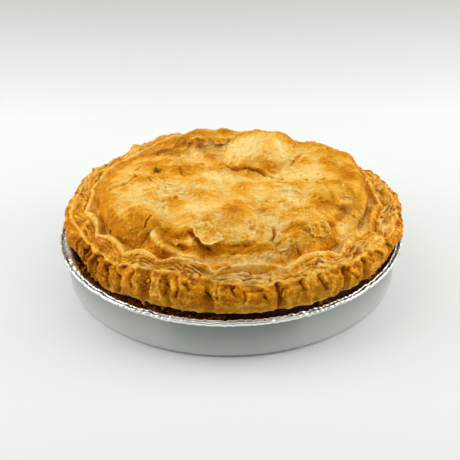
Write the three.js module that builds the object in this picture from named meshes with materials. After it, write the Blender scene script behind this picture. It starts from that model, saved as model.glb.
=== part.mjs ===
// A round apple pie, baked and still in its own smooth-walled foil tin.
// Millimetres, +Z up. The origin is the centre of the tin's underside, and -Y is the side that faces the
// viewer.
// Angles are in degrees round the pie, counter-clockwise seen from above, with 0 along +X.
import * as THREE from 'three';
import { mergeVertices } from 'three/addons/utils/BufferGeometryUtils.js';

// Driving dimensions of the tin
const RIM_RADIUS = 112;
const TIN_DEPTH = 27;
const BASE_RADIUS = 106.6;
const FOIL = 0.5;
const FLANGE_WIDTH = 3.8;
const BEAD_RADIUS = 1.2;
const BASE_CORNER = 3;
const TIN_SEGMENTS = 72;

// Driving dimensions of the pie. It sits a little to one side in its tin.
const PIE_SHIFT = 1.6;
const PIE_GAP = 0.3;
const PIE_SEGMENTS = 150;
const PIE_FLOOR = FOIL + PIE_GAP;
const PIE_INNER = BASE_RADIUS - FOIL - PIE_GAP;
const LID_RADIUS = 86.5;
const LID_FOOT = 50;
const DOME_RISE = 14;
const DOME_POWER = 6.5;
const LID_SIDE_POWER = 44;

// Key points of the pie's section at its edge, from the tin's floor up over the crimp to the lid's foot.
// Each takes a share of the pull inward, the sag, the pleats, the dips, the lean, and the outward and
// downward presses.
const EDGE = [
  { r: PIE_INNER - BASE_CORNER, z: PIE_FLOOR },
  { r: PIE_INNER, z: PIE_FLOOR + BASE_CORNER },
  { r: PIE_INNER + 0.7, z: 20 },
  { r: 103.5, z: TIN_DEPTH },
  { r: 103.5, z: 30.5, pull: 1, sag: 1 },
  { r: 107.5, z: 32, pull: 1, sag: 1, cut: 0.5 },
  { r: 110.1, z: 39, pull: 1, sag: 0.8, cut: 1, dip: 0.4 },
  { r: 109.1, z: 44, pull: 1, sag: 0.3, cut: 1, dip: 0.7, lean: 0.25 },
  { r: 105.5, z: 48.5, pull: 1, cut: 0.6, dip: 1, down: 0.3, lean: 1 },
  { r: 90, z: 53, dip: 1, out: 1, down: 1 },
  { r: LID_RADIUS, z: LID_FOOT, dip: 0.5, out: 0.4, down: 0.5 },
];
const LIP = 5;
const SHOULDER = 8;
const CREST = 9;

// The baker's finger presses, uneven round the edge
const PRESSES = [17, 39, 62, 84, 105, 127, 148, 168, 188, 207, 226, 241.5, 263, 289.6, 312, 334, 355];
const PRESS_OUTWARD = 5;
const PRESS_DROP = 4;
const LOBE_ROUNDNESS = 0.7;

// Pleats down the outside of the edge: angle, depth and half-width in degrees
const PLEATS = [
  [211, 3, 2], [219, 2.5, 2], [231, 1.5, 2], [241, 2, 2], [249, 1.5, 2], [262, 2, 2.5],
  [284, 3.5, 2.5], [307, 3.5, 2.5], [316, 1.5, 2], [331, 3.5, 2.5], [350, 2, 2.5],
];
const BACK_PLEAT = { first: 10, step: 21.5, count: 9, depth: 2.5, halfWidth: 2.5 };

// Where the edge stands lower, or higher with a negative drop, where it is pulled inward, where its
// underside sags, and where its shoulder leans inward
const DIPS = [
  { angle: 165, halfWidth: 30, drop: 1, inward: 1 },
  { angle: 40, halfWidth: 42, drop: 5, inward: 1 },
  { angle: 118, halfWidth: 36, drop: -2.5 },
  { angle: 155, halfWidth: 16, drop: -2 },
  { angle: 137, halfWidth: 9, drop: 2.2 },
  { angle: 116, halfWidth: 10, drop: -1.6 },
  { angle: 338, halfWidth: 24, inward: -1.6 },
  { angle: 206, halfWidth: 18, inward: 3 },
  { angle: 222, halfWidth: 14, sag: 3 },
  { angle: 248, halfWidth: 34, drop: -4.2 },
  { angle: 297, halfWidth: 18, drop: -2.6 },
  { angle: 255, halfWidth: 40, lean: 6 },
];

// The mounds that the fruit makes under the lid: centre, radii along and across, turn, height over
// the foot of the lid, and how flat the top is before the sides fall away
const MOUNDS = [
  { x: 18, y: 40, along: 36, across: 46, turn: 0, height: 24, flatness: 2.6 },
  { x: 61, y: 14, along: 39, across: 52, turn: 6, height: 18.6, flatness: 6 },
  { x: -10, y: 54, along: 42, across: 34, turn: 0, height: 21, flatness: 2.6 },
  { x: -58, y: -4, along: 33, across: 50, turn: -12, height: 17.5, flatness: 4 },
  { x: -61, y: -38, along: 24, across: 26, turn: 0, height: 15.5, flatness: 4 },
  { x: -30, y: 2, along: 40, across: 38, turn: 0, height: 18, flatness: 3 },
  { x: -10, y: -51, along: 36, across: 33, turn: 0, height: 16.5, flatness: 5 },
  { x: 10, y: -20, along: 50, across: 38, turn: 0, height: 17, flatness: 4 },
  { x: 43, y: -50, along: 21, across: 28, turn: 20, height: 15.5, flatness: 4 },
];
const MOUND_BLEND = 10;

// Flakes of pastry that stand proud of the lid: centre, radius and height
const FLAKES = [
  { x: -13, y: -70, radius: 10, height: 1.6 },
  { x: 52, y: -60, radius: 9, height: 1.6 },
];

// The roll of pastry along the foot of the dome: angles, radius at each end, height and half-width
const ROLL = { from: 222, to: 268, startRadius: 74, endRadius: 82, height: 1.8, halfWidth: 4 };

// The cut layers that show along the top of the edge, as ridges: their places from shoulder to crest
const LAYER_RISE = 0.6;
const LAYER_SHARES = [0.14, 0.28, 0.42, 0.56, 0.7, 0.84];

// Stations along the section: the key point each starts from, and its share of the way to the next
const STATIONS = [
  [0, 0], [1, 0], [2, 0], [3, 0], [4, 0], [LIP, 0], [LIP, 0.5], [6, 0], [7, 0], [7, 0.5], [SHOULDER, 0],
  ...LAYER_SHARES.map((share) => [SHOULDER, share]),
  [CREST, 0], [CREST, 0.5], [10, 0],
];

// Rings of the lid, as shares of the way from its centre to its foot
const LID_RINGS = [0.985, 0.96, 0.93, 0.89, 0.84, 0.79, 0.73, 0.67, 0.6, 0.53, 0.46, 0.38, 0.29, 0.19, 0.1];

const radians = THREE.MathUtils.degToRad;

// The signed difference between two angles, from -180 to 180 degrees.
function turnBetween(a, b) {
  return THREE.MathUtils.euclideanModulo(a - b + 180, 360) - 180;
}

// 1 at the middle of a feature and 0 past its half-width, with a soft foot.
function hump(distance, halfWidth) {
  const t = Math.max(0, 1 - Math.abs(distance) / halfWidth);
  return t * t * (3 - 2 * t);
}

// 0 where a finger pressed the edge and 1 at the middle of the lobe between two presses.
function lobe(angle) {
  const a = THREE.MathUtils.euclideanModulo(angle, 360);
  const after = PRESSES.findIndex((press) => press > a);
  const end = after < 0 ? PRESSES[0] + 360 : PRESSES[after];
  const start = after === 0 ? PRESSES.at(-1) - 360 : PRESSES.at(after < 0 ? -1 : after - 1);
  return Math.sin((Math.PI * (a - start)) / (end - start)) ** LOBE_ROUNDNESS;
}

// How deep the pleats cut into the outside of the edge at an angle.
function pleatDepth(angle) {
  let depth = 0;
  for (const [at, deep, halfWidth] of PLEATS) {
    depth = Math.max(depth, deep * hump(turnBetween(angle, at), halfWidth));
  }
  for (let i = 0; i < BACK_PLEAT.count; i++) {
    const away = turnBetween(angle, BACK_PLEAT.first + i * BACK_PLEAT.step);
    depth = Math.max(depth, BACK_PLEAT.depth * hump(away, BACK_PLEAT.halfWidth));
  }
  return depth;
}

// How much the roll along the foot of the dome adds at a point of the plan.
function rollHeight(x, y) {
  const angle = THREE.MathUtils.euclideanModulo(THREE.MathUtils.radToDeg(Math.atan2(y, x)), 360);
  const along = (angle - ROLL.from) / (ROLL.to - ROLL.from);
  const share = Math.sqrt(THREE.MathUtils.clamp(along, 0, 1));
  const radius = THREE.MathUtils.lerp(ROLL.startRadius, ROLL.endRadius, share);
  return ROLL.height * hump(along - 0.5, 0.6) * hump(Math.hypot(x, y) - radius, ROLL.halfWidth);
}

// The lid's height over a point of the plan: a shallow dome, the mounds of fruit and the loose flakes.
function lidHeight(x, y) {
  const reach = Math.min(1, Math.hypot(x, y) / LID_RADIUS);
  let sum = (DOME_RISE * (1 - reach ** DOME_POWER)) ** MOUND_BLEND;
  for (const mound of MOUNDS) {
    const turn = radians(mound.turn);
    const dx = x - mound.x;
    const dy = y - mound.y;
    const u = (dx * Math.cos(turn) + dy * Math.sin(turn)) / mound.along;
    const v = (dy * Math.cos(turn) - dx * Math.sin(turn)) / mound.across;
    const inside = Math.max(0, 1 - Math.hypot(u, v) ** mound.flatness);
    sum += (mound.height * inside) ** MOUND_BLEND;
  }
  const side = Math.sqrt(1 - reach ** LID_SIDE_POWER);
  let height = LID_FOOT + side * sum ** (1 / MOUND_BLEND);
  for (const flake of FLAKES) {
    height += flake.height * hump(Math.hypot(x - flake.x, y - flake.y), flake.radius);
  }
  return height + rollHeight(x, y);
}

// One rounded corner of the tin's section, from its floor to its wall, on the outside or the inside.
function baseCorner(inset) {
  const radius = BASE_CORNER - inset;
  const points = [];
  for (let i = 0; i <= 3; i++) {
    const a = (i / 3) * (Math.PI / 2);
    const r = BASE_RADIUS - BASE_CORNER + radius * Math.sin(a);
    points.push(new THREE.Vector2(r, inset + radius * (1 - Math.cos(a))));
  }
  return points;
}

// The rolled bead's section, from under the flange round to its top.
function bead(centre) {
  const points = [];
  for (let i = 0; i <= 6; i++) {
    const a = radians(-125 + i * 45);
    points.push(new THREE.Vector2(centre.x + BEAD_RADIUS * Math.cos(a), centre.y + BEAD_RADIUS * Math.sin(a)));
  }
  return points;
}

// The tin is turned from its section: floor, wall, flange and rolled bead.
function makeTin() {
  const wallTop = RIM_RADIUS - FLANGE_WIDTH;
  const profile = [
    new THREE.Vector2(0, 0),
    ...baseCorner(0),
    new THREE.Vector2(wallTop, TIN_DEPTH - 2 * FOIL),
    ...bead(new THREE.Vector2(RIM_RADIUS - BEAD_RADIUS, TIN_DEPTH + FOIL)),
    new THREE.Vector2(wallTop, TIN_DEPTH + FOIL),
    new THREE.Vector2(wallTop - FOIL, TIN_DEPTH - FOIL),
    ...baseCorner(FOIL).reverse(),
    new THREE.Vector2(0, FOIL),
  ];
  const geometry = new THREE.LatheGeometry(profile, TIN_SEGMENTS);
  geometry.rotateX(Math.PI / 2);
  return geometry;
}

// The key points of the pie's edge at one angle.
function edgePoints(angle) {
  const press = 1 - lobe(angle);
  const pleat = pleatDepth(angle);
  const moves = { drop: 0, inward: 0, sag: 0, lean: 0 };
  for (const { angle: centre, halfWidth, ...amounts } of DIPS) {
    const share = hump(turnBetween(angle, centre), halfWidth);
    for (const [kind, amount] of Object.entries(amounts)) {
      moves[kind] += amount * share;
    }
  }
  return EDGE.map(({ r, z, pull = 0, sag = 0, cut = 0, dip = 0, lean = 0, out = 0, down = 0 }) => {
    const inward = pull * moves.inward + cut * pleat + lean * moves.lean;
    const lowered = sag * moves.sag + dip * moves.drop + down * PRESS_DROP * press;
    return new THREE.Vector2(r - inward + out * PRESS_OUTWARD * press, z - lowered);
  });
}

// Where one vertex of the pie goes, by its station in the section and its angle.
function piePoint(station, angle) {
  const keys = edgePoints(angle);
  const foot = keys.at(-1);
  const turn = radians(angle);
  let r = 0;
  let z = PIE_FLOOR;
  if (station > STATIONS.length) {
    const ring = LID_RINGS[station - STATIONS.length - 1] ?? 0;
    r = foot.x * ring;
    z = lidHeight(r * Math.cos(turn), r * Math.sin(turn)) + (foot.y - LID_FOOT) * ring ** 8;
  } else if (station > 0) {
    const [from, share] = STATIONS[station - 1];
    const to = keys[Math.min(from + 1, keys.length - 1)];
    const layer = from === SHOULDER ? LAYER_SHARES.indexOf(share) : -1;
    r = THREE.MathUtils.lerp(keys[from].x, to.x, share);
    z = THREE.MathUtils.lerp(keys[from].y, to.y, share);
    if (layer >= 0) {
      z += layer % 2 ? LAYER_RISE : -LAYER_RISE;
    }
  }
  const shift = z > TIN_DEPTH ? PIE_SHIFT : 0;
  return new THREE.Vector3(r * Math.cos(turn) + shift, r * Math.sin(turn), z);
}

// The lid needs only half as many points round it as the crimped edge does.
function columnFor(station, column) {
  const onLid = station > STATIONS.length + 1;
  return onLid ? column - (column % 2) : column;
}

// The pie is one closed solid: a lathe whose points are moved to the section at their own angle.
function makePie() {
  const stations = STATIONS.length + LID_RINGS.length + 2;
  const section = [];
  for (let j = 0; j < stations; j++) {
    const onAxis = j === 0 || j === stations - 1;
    section.push(new THREE.Vector2(onAxis ? 0 : 1, j));
  }
  const geometry = new THREE.LatheGeometry(section, PIE_SEGMENTS);
  const position = geometry.getAttribute('position');
  for (let i = 0; i <= PIE_SEGMENTS; i++) {
    for (let j = 0; j < stations; j++) {
      const column = columnFor(j, i % PIE_SEGMENTS);
      const p = piePoint(j, (column * 360) / PIE_SEGMENTS - 90);
      position.setXYZ(i * stations + j, p.x, p.y, p.z);
    }
  }
  geometry.deleteAttribute('uv');
  geometry.deleteAttribute('normal');
  return withoutSlivers(mergeVertices(geometry, 1e-4));
}

// Triangles that have two corners in one place are dropped.
function withoutSlivers(geometry) {
  const index = geometry.getIndex().array;
  const kept = [];
  for (let i = 0; i < index.length; i += 3) {
    const [a, b, c] = index.slice(i, i + 3);
    if (a !== b && b !== c && c !== a) {
      kept.push(a, b, c);
    }
  }
  geometry.setIndex(kept);
  geometry.computeVertexNormals();
  return geometry;
}

function mesh(name, geometry, colour, roughness, metalness) {
  const material = new THREE.MeshStandardMaterial({ color: colour, roughness, metalness });
  const made = new THREE.Mesh(geometry, material);
  made.name = name;
  return made;
}

const applePie = new THREE.Group();
applePie.add(mesh('foil_tin', makeTin(), 0xc9ccca, 0.35, 1));
applePie.add(mesh('apple_pie', makePie(), 0xd9962f, 0.6, 0));

export default applePie;
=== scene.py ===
"""A round apple pie, baked and still in its own foil tin, dressed for a studio picture.

Sizes are in millimetres and turned to metres when a mesh is finished. The pie's own frame has its origin on the
tin's axis shifted by PIE_SHIFT, angles run counter-clockwise from +X seen from above, and -Y faces the viewer.
"""

import logging
import math
import random
from dataclasses import dataclass
from enum import Enum

import bmesh
import bpy
import numpy as np
from mathutils import Matrix, Vector, noise


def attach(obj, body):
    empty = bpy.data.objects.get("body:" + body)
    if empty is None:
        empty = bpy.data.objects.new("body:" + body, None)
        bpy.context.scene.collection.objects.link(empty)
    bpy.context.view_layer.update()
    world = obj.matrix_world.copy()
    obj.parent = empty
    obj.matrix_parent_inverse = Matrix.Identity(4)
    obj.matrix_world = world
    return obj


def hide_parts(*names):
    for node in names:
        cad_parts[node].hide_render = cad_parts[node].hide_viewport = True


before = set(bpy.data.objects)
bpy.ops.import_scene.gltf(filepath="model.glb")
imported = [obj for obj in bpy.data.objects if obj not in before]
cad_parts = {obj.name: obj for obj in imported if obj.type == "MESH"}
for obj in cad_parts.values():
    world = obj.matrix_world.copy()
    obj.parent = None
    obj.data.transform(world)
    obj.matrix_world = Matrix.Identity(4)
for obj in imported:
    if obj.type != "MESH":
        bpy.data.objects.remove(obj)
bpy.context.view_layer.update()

logging.basicConfig(level=logging.INFO, format="%(message)s")
log = logging.getLogger("apple_pie")

MM = 0.001
PIE_SHIFT = 1.6
TIN_DEPTH = 27.0
PASTRY_LAYERS = ("bake", "groove", "scorch", "moist")
# The mean of the noise's absolute value. Ridged relief has it taken off, so that it moves out as much as in.
MEAN_RIDGE = 0.25


class Slot(Enum):
    """The record's material slots."""

    FOIL = "foil"
    PASTRY = "pastry"


class Node(Enum):
    """The solids that the dressed pieces stand for."""

    PIE = "apple_pie"
    TIN = "foil_tin"


def linear(hex_colour: str) -> tuple[float, float, float, float]:
    """Turns an sRGB hex colour to the linear colour that a shader takes.

    Args:
        hex_colour: A colour such as "#E0A040".

    Returns:
        Red, green, blue and an alpha of 1.
    """
    parts = [int(hex_colour[i : i + 2], 16) / 255 for i in (1, 3, 5)]
    made = [p / 12.92 if p <= 0.04045 else ((p + 0.055) / 1.055) ** 2.4 for p in parts]
    return made[0], made[1], made[2], 1.0


def add_node(
    tree: bpy.types.NodeTree, kind: str, inputs: dict | None = None, stops: tuple = (), **settings: object
) -> bpy.types.Node:
    """Adds one shader node with its settings, its ramp's stops and its links.

    Args:
        tree: The node tree.
        kind: The node's type name.
        inputs: For each input, by name or number, a value, an output, or a node whose first live output it takes.
        stops: For a ramp, its (position, hex colour) stops.
        **settings: The node's own properties.

    Returns:
        The node.
    """
    made = tree.nodes.new(kind)
    for key, value in settings.items():
        setattr(made, key, value)
    for key, value in (inputs or {}).items():
        if isinstance(value, bpy.types.Node):
            value = next(output for output in value.outputs if output.enabled)
        if isinstance(value, bpy.types.NodeSocket):
            tree.links.new(value, made.inputs[key])
        else:
            made.inputs[key].default_value = value
    for i, (position, colour) in enumerate(stops):
        elements = made.color_ramp.elements
        stop = elements[i] if i < len(elements) else elements.new(position)
        stop.position, stop.color = position, linear(colour)
    return made


def per_metre(size_mm: float) -> float:
    """The scale of a noise whose features are about size_mm across."""
    return 1 / (size_mm * MM)


def eased(share: np.ndarray) -> np.ndarray:
    """A share held between 0 and 1, which starts and ends softly."""
    t = np.clip(share, 0, 1)
    return t * t * (3 - 2 * t)


def hump(distance: np.ndarray, half_width: float | np.ndarray) -> np.ndarray:
    """1 at the middle of a feature and 0 past its half-width, with a soft foot."""
    return eased(1 - np.abs(distance) / half_width)


def rise(value: np.ndarray, low: float, high: float) -> np.ndarray:
    """0 below low and 1 above high, smooth in between."""
    return eased((value - low) / (high - low))


def plateau(value: np.ndarray, low: float, full: float, full_to: float, high: float) -> np.ndarray:
    """0 outside low and high and 1 from full to full_to, smooth in between."""
    return rise(value, low, full) * (1 - rise(value, full_to, high))


def turn_between(a: np.ndarray, b: float) -> np.ndarray:
    """The signed difference between two angles, from -180 to 180 degrees."""
    return (a - b + 180) % 360 - 180


def bump_at(angle: np.ndarray, middle: float, half_width: float, stray: np.ndarray | float = 0.0) -> np.ndarray:
    """A hump round one angle of the pie, in degrees, which may stray from it."""
    return hump(turn_between(angle, middle) + stray, half_width)


def highest_bump(angle: np.ndarray, places: tuple, stray: np.ndarray | float = 0.0) -> np.ndarray:
    """The highest of several humps round the pie.

    Args:
        angle: Angles in degrees.
        places: For each hump its middle and half-width in degrees, and its height where that isn't 1.
        stray: How far the humps stray there, in degrees.

    Returns:
        The height at each angle.
    """
    made = np.zeros(angle.shape)
    for middle, half_width, *height in places:
        made = np.maximum(made, bump_at(angle, middle, half_width, stray) * (height[0] if height else 1))
    return made


def from_polar(r: np.ndarray | float, turn: np.ndarray, z: np.ndarray) -> np.ndarray:
    """Points from radii, turns in radians and heights."""
    return np.stack([r * np.cos(turn), r * np.sin(turn), z], -1)


def in_oval(dx: np.ndarray, dy: np.ndarray, oval: "Mound | Patch") -> tuple[np.ndarray, np.ndarray]:
    """Offsets from a turned oval's centre, as shares of its two half-sizes."""
    cos, sin = math.cos(math.radians(oval.turn)), math.sin(math.radians(oval.turn))
    return (dx * cos + dy * sin) / oval.along, (dy * cos - dx * sin) / oval.across


def grain(points: np.ndarray, size: float, seed: int, octaves: int = 3) -> np.ndarray:
    """Fractal noise at points.

    Args:
        points: An array of points in mm whose last axis is x, y, z.
        size: The size of the largest features, in mm.
        seed: A whole number that picks the pattern.
        octaves: How many times the pattern repeats at half the size.

    Returns:
        Values of about -1 to 1, with the points' shape less its last axis.
    """
    offset = np.array([seed * 17.31, seed * -9.17, seed * 5.73])
    flat = points.reshape(-1, 3) / size + offset
    made = np.array([noise.fractal(p, 1.0, 2.0, octaves) for p in flat])
    return made.reshape(points.shape[:-1])


def terrace(value: np.ndarray, sharpness: float = 5.0) -> np.ndarray:
    """Turns a smooth rise to steps, as the broken edges of stacked flakes: the step's offset from the rise."""
    part = value - np.floor(value)
    return part**sharpness - part


def distance_to_path(points: np.ndarray, path: tuple) -> tuple[np.ndarray, np.ndarray]:
    """How far points lie from a path of straight runs, on the plan or in space.

    Args:
        points: Points in mm, whose last axis is x, y, z.
        path: The path's (x, y) points, for which height doesn't count, or its (x, y, z) points.

    Returns:
        The signed distance to the nearest run, positive on its left, and the share of the way along the path.
    """
    knots = np.array(path, float)
    flat = points[..., : knots.shape[1]]
    best = np.full(flat.shape[:-1], 1e9)
    signed, along = np.zeros(best.shape), np.zeros(best.shape)
    for i, (start, end) in enumerate(zip(knots, knots[1:])):
        run = end - start
        from_start = flat - start
        t = np.clip(from_start @ run / (run @ run), 0, 1)
        away = np.linalg.norm(from_start - t[..., None] * run, axis=-1)
        side = np.where(run[0] * from_start[..., 1] - run[1] * from_start[..., 0] >= 0, 1.0, -1.0)
        near = away < best
        best = np.where(near, away, best)
        signed = np.where(near, away * side, signed)
        along = np.where(near, (i + t) / (len(knots) - 1), along)
    return signed, along


def surface_normals(points: np.ndarray, closed: bool) -> np.ndarray:
    """The normals of a grid of points.

    Args:
        points: Points on a grid, of shape (rows, columns, 3).
        closed: Whether the columns run all the way round.

    Returns:
        Unit normals of the same shape.
    """
    down = np.gradient(points, axis=0)
    across = (np.roll(points, -1, 1) - np.roll(points, 1, 1)) / 2 if closed else np.gradient(points, axis=1)
    made = np.cross(across, down)
    return made / np.maximum(np.linalg.norm(made, axis=-1, keepdims=True), 1e-9)


def softened(values: np.ndarray, passes: int, axis: int, closed: bool = False) -> np.ndarray:
    """Averages each value with its neighbours along one axis, a few times over.

    Args:
        values: Values on a grid.
        passes: How many times they are averaged.
        axis: The axis that they are averaged along.
        closed: Whether the grid closes on itself there. If not, its ends stay as they are.

    Returns:
        The new values.
    """
    for _ in range(passes):
        before, after = np.roll(values, 1, axis), np.roll(values, -1, axis)
        mixed = (before + 2 * values + after) / 4
        if not closed:
            ends = [slice(None)] * values.ndim
            for end in (0, -1):
                ends[axis] = end
                mixed[tuple(ends)] = values[tuple(ends)]
        values = mixed
    return values


@dataclass(frozen=True)
class KeyPoint:
    """A key point of the pie's section at its edge, with its share of each thing that moves the edge."""

    r: float
    z: float
    pull: float = 0
    sag: float = 0
    cut: float = 0
    dip: float = 0
    lean: float = 0
    out: float = 0
    down: float = 0


@dataclass(frozen=True)
class Dip:
    """A stretch of the edge that stands lower, is pulled inward, sags below or leans inward at its shoulder."""

    angle: float
    half_width: float
    drop: float = 0
    inward: float = 0
    sag: float = 0
    lean: float = 0


@dataclass(frozen=True)
class EdgeForm:
    """The crimped edge's form: its section round the pie, the finger presses and the pleats."""

    keys: tuple = (
        KeyPoint(102.8, 0.8),
        KeyPoint(105.8, 3.8),
        KeyPoint(106.5, 20),
        KeyPoint(103.5, 27),
        KeyPoint(103.5, 30.5, pull=1, sag=1),
        KeyPoint(107.5, 32, pull=1, sag=1, cut=0.5),
        KeyPoint(110.1, 39, pull=1, sag=0.8, cut=1, dip=0.4),
        KeyPoint(109.1, 44, pull=1, sag=0.3, cut=1, dip=0.7, lean=0.25),
        KeyPoint(105.5, 48.5, pull=1, cut=0.6, dip=1, down=0.3, lean=1),
        KeyPoint(90, 53, dip=1, out=1, down=1),
        KeyPoint(86.5, 50, dip=0.5, out=0.4, down=0.5),
    )
    presses: tuple = (17, 39, 62, 84, 105, 127, 148, 168, 188, 207, 226, 241.5, 263, 289.6, 312, 334, 355)
    press_outward: float = 5
    press_drop: float = 4
    lobe_roundness: float = 0.7
    pleats: tuple = (
        (211, 3, 2), (219, 2.5, 2), (231, 1.5, 2), (241, 2, 2), (249, 1.5, 2), (262, 2, 2.5),
        (284, 3.5, 2.5), (307, 3.5, 2.5), (316, 1.5, 2), (331, 3.5, 2.5), (350, 2, 2.5),
    )
    pleat_share: float = 0.9
    fold_share: tuple = (0.1, 0.5)
    fold_count: int = 34
    fold_seed: int = 12
    crease_half_width: float = 1.1
    lip_offset: float = 2.2
    lip_half_width: float = 1.7
    back_pleat_first: float = 10
    back_pleat_step: float = 21.5
    back_pleat_count: int = 9
    back_pleat_depth: float = 2.5
    back_pleat_half_width: float = 2.5
    dips: tuple = (
        Dip(165, 30, drop=1, inward=1), Dip(40, 42, drop=5, inward=1), Dip(118, 36, drop=-2.5),
        Dip(155, 16, drop=-2), Dip(137, 9, drop=2.2), Dip(116, 10, drop=-1.6), Dip(338, 24, inward=-1.6),
        Dip(206, 18, inward=3), Dip(222, 14, sag=3), Dip(248, 34, drop=-4.2), Dip(297, 18, drop=-2.6),
        Dip(255, 40, lean=6),
    )

    def lobe(self, angle: np.ndarray) -> np.ndarray:
        """The share of the way from a finger's press out to the full lobe between two presses.

        Args:
            angle: Angles in degrees.

        Returns:
            0 where a finger pressed the edge and 1 at the middle of a lobe.
        """
        ends = np.array([self.presses[-1] - 360, *self.presses, self.presses[0] + 360])
        a = angle % 360
        after = np.searchsorted(ends, a, side="right")
        start, end = ends[after - 1], ends[after]
        return np.sin(math.pi * (a - start) / (end - start)) ** self.lobe_roundness

    def pleat_depth(self, angle: np.ndarray) -> np.ndarray:
        """How deep the pleats cut into the outside of the edge.

        Args:
            angle: Angles in degrees.

        Returns:
            The depth in mm at each angle.
        """
        behind = (self.back_pleat_first + i * self.back_pleat_step for i in range(self.back_pleat_count))
        pleats = [*self.pleats, *((at, self.back_pleat_depth, self.back_pleat_half_width) for at in behind)]
        return highest_bump(angle, tuple((at, half_width, deep) for at, deep, half_width in pleats))

    def crease(self, angle: np.ndarray, wander: np.ndarray) -> tuple[np.ndarray, np.ndarray]:
        """The sharp creases at the pleats and at finer folds between them.

        Args:
            angle: Angles in degrees.
            wander: How far a crease strays there, in degrees.

        Returns:
            The crease's share and that of the puffed lips beside it, 0 to about 1.
        """
        draw = random.Random(self.fold_seed)
        folds = [(at, self.pleat_share) for at, _, _ in self.pleats]
        folds += [(draw.uniform(0, 360), draw.uniform(*self.fold_share)) for _ in range(self.fold_count)]
        line, lips = np.zeros(angle.shape), np.zeros(angle.shape)
        for at, share in folds:
            away = np.abs(turn_between(angle, at) + wander)
            line = np.maximum(line, share * np.clip(1 - away / self.crease_half_width, 0, 1))
            lips = np.maximum(lips, share * hump(away - self.lip_offset, self.lip_half_width))
        return line, lips

    def section(self, angle: np.ndarray) -> tuple[np.ndarray, np.ndarray]:
        """The key points at each angle.

        Args:
            angle: Angles in degrees, one for each column.

        Returns:
            Radii and heights in mm, of shape (key points, columns).
        """
        press = 1 - self.lobe(angle)
        pleat = self.pleat_depth(angle)
        drop, inward, sag, lean = (np.zeros(angle.shape) for _ in range(4))
        for dip in self.dips:
            share = bump_at(angle, dip.angle, dip.half_width)
            drop, inward = drop + dip.drop * share, inward + dip.inward * share
            sag, lean = sag + dip.sag * share, lean + dip.lean * share
        radii, heights = [], []
        for k in self.keys:
            moved_in = k.pull * inward + k.cut * pleat + k.lean * lean
            radii.append(k.r - moved_in + k.out * self.press_outward * press)
            heights.append(k.z - k.sag * sag - k.dip * drop - k.down * self.press_drop * press)
        return np.array(radii), np.array(heights)


@dataclass(frozen=True)
class Mound:
    """One mound that the fruit makes under the lid."""

    x: float
    y: float
    along: float
    across: float
    turn: float
    height: float
    flatness: float


@dataclass(frozen=True)
class LidForm:
    """The lid's form: a shallow dome, the mounds of fruit, and the roll along the foot of the dome."""

    radius: float = 86.5
    foot: float = 50
    rise: float = 14
    power: float = 6.5
    side_power: float = 44
    blend: float = 10
    mounds: tuple = (
        Mound(18, 40, 36, 46, 0, 24, 2.6),
        Mound(61, 14, 39, 52, 6, 18.6, 6),
        Mound(-10, 54, 42, 34, 0, 21, 2.6),
        Mound(-58, -4, 33, 50, -12, 17.5, 4),
        Mound(-61, -38, 24, 26, 0, 15.5, 4),
        Mound(-30, 2, 40, 38, 0, 18, 3),
        Mound(-10, -51, 36, 33, 0, 16.5, 5),
        Mound(10, -20, 50, 38, 0, 17, 4),
        Mound(43, -50, 21, 28, 20, 15.5, 4),
    )
    roll_from: float = 222
    roll_to: float = 268
    roll_start_radius: float = 74
    roll_end_radius: float = 82
    roll_height: float = 1.8
    roll_half_width: float = 4
    crease_half_width: float = 1.3

    def roll(self, x: np.ndarray, y: np.ndarray) -> np.ndarray:
        """The share of the roll along the foot of the dome.

        Args:
            x: The x of points on the plan, in mm.
            y: Their y.

        Returns:
            0 to 1 for each point.
        """
        angle = np.degrees(np.arctan2(y, x)) % 360
        along = (angle - self.roll_from) / (self.roll_to - self.roll_from)
        share = np.sqrt(np.clip(along, 0, 1))
        radius = self.roll_start_radius + (self.roll_end_radius - self.roll_start_radius) * share
        return hump(along - 0.5, 0.6) * hump(np.hypot(x, y) - radius, self.roll_half_width)

    def swells(self, x: np.ndarray, y: np.ndarray) -> np.ndarray:
        """How high the shallow dome and each mound alone would stand over the lid's foot.

        Args:
            x: The x of points on the plan, in mm.
            y: Their y.

        Returns:
            Heights in mm, a row for the dome and then one for each mound.
        """
        reach = np.minimum(1, np.hypot(x, y) / self.radius)
        made = [self.rise * (1 - reach**self.power)]
        for m in self.mounds:
            u, v = in_oval(x - m.x, y - m.y, m)
            made.append(m.height * np.maximum(0, 1 - np.hypot(u, v) ** m.flatness))
        return np.array(made)

    def crease(self, x: np.ndarray, y: np.ndarray) -> np.ndarray:
        """The share, 0 to 1, of the crease where two mounds meet."""
        ranked = np.sort(self.swells(x, y), axis=0)
        return hump(ranked[-1] - ranked[-2], self.crease_half_width)

    def height(self, x: np.ndarray, y: np.ndarray) -> np.ndarray:
        """The lid's height.

        Args:
            x: The x of points on the plan, in mm.
            y: Their y.

        Returns:
            The height in mm over each point.
        """
        reach = np.minimum(1, np.hypot(x, y) / self.radius)
        total = (self.swells(x, y) ** self.blend).sum(0)
        side = np.sqrt(np.maximum(0, 1 - reach**self.side_power))
        return self.foot + side * total ** (1 / self.blend) + self.roll_height * self.roll(x, y)


@dataclass(frozen=True)
class Finish:
    """What a surface is made of. Each kind of finish adds its own nodes."""

    name: str

    def shader(self, tree: bpy.types.NodeTree) -> bpy.types.Node:
        """Adds the finish's nodes to a tree and returns the shader that they end in."""
        raise NotImplementedError

    def material(self) -> bpy.types.Material:
        """Makes the material.

        Returns:
            The material, whose surface is the finish's shader.
        """
        made = bpy.data.materials.new(self.name)
        made.use_nodes = True
        made.node_tree.nodes.clear()
        add_node(made.node_tree, "ShaderNodeOutputMaterial", {"Surface": self.shader(made.node_tree)})
        return made


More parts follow.
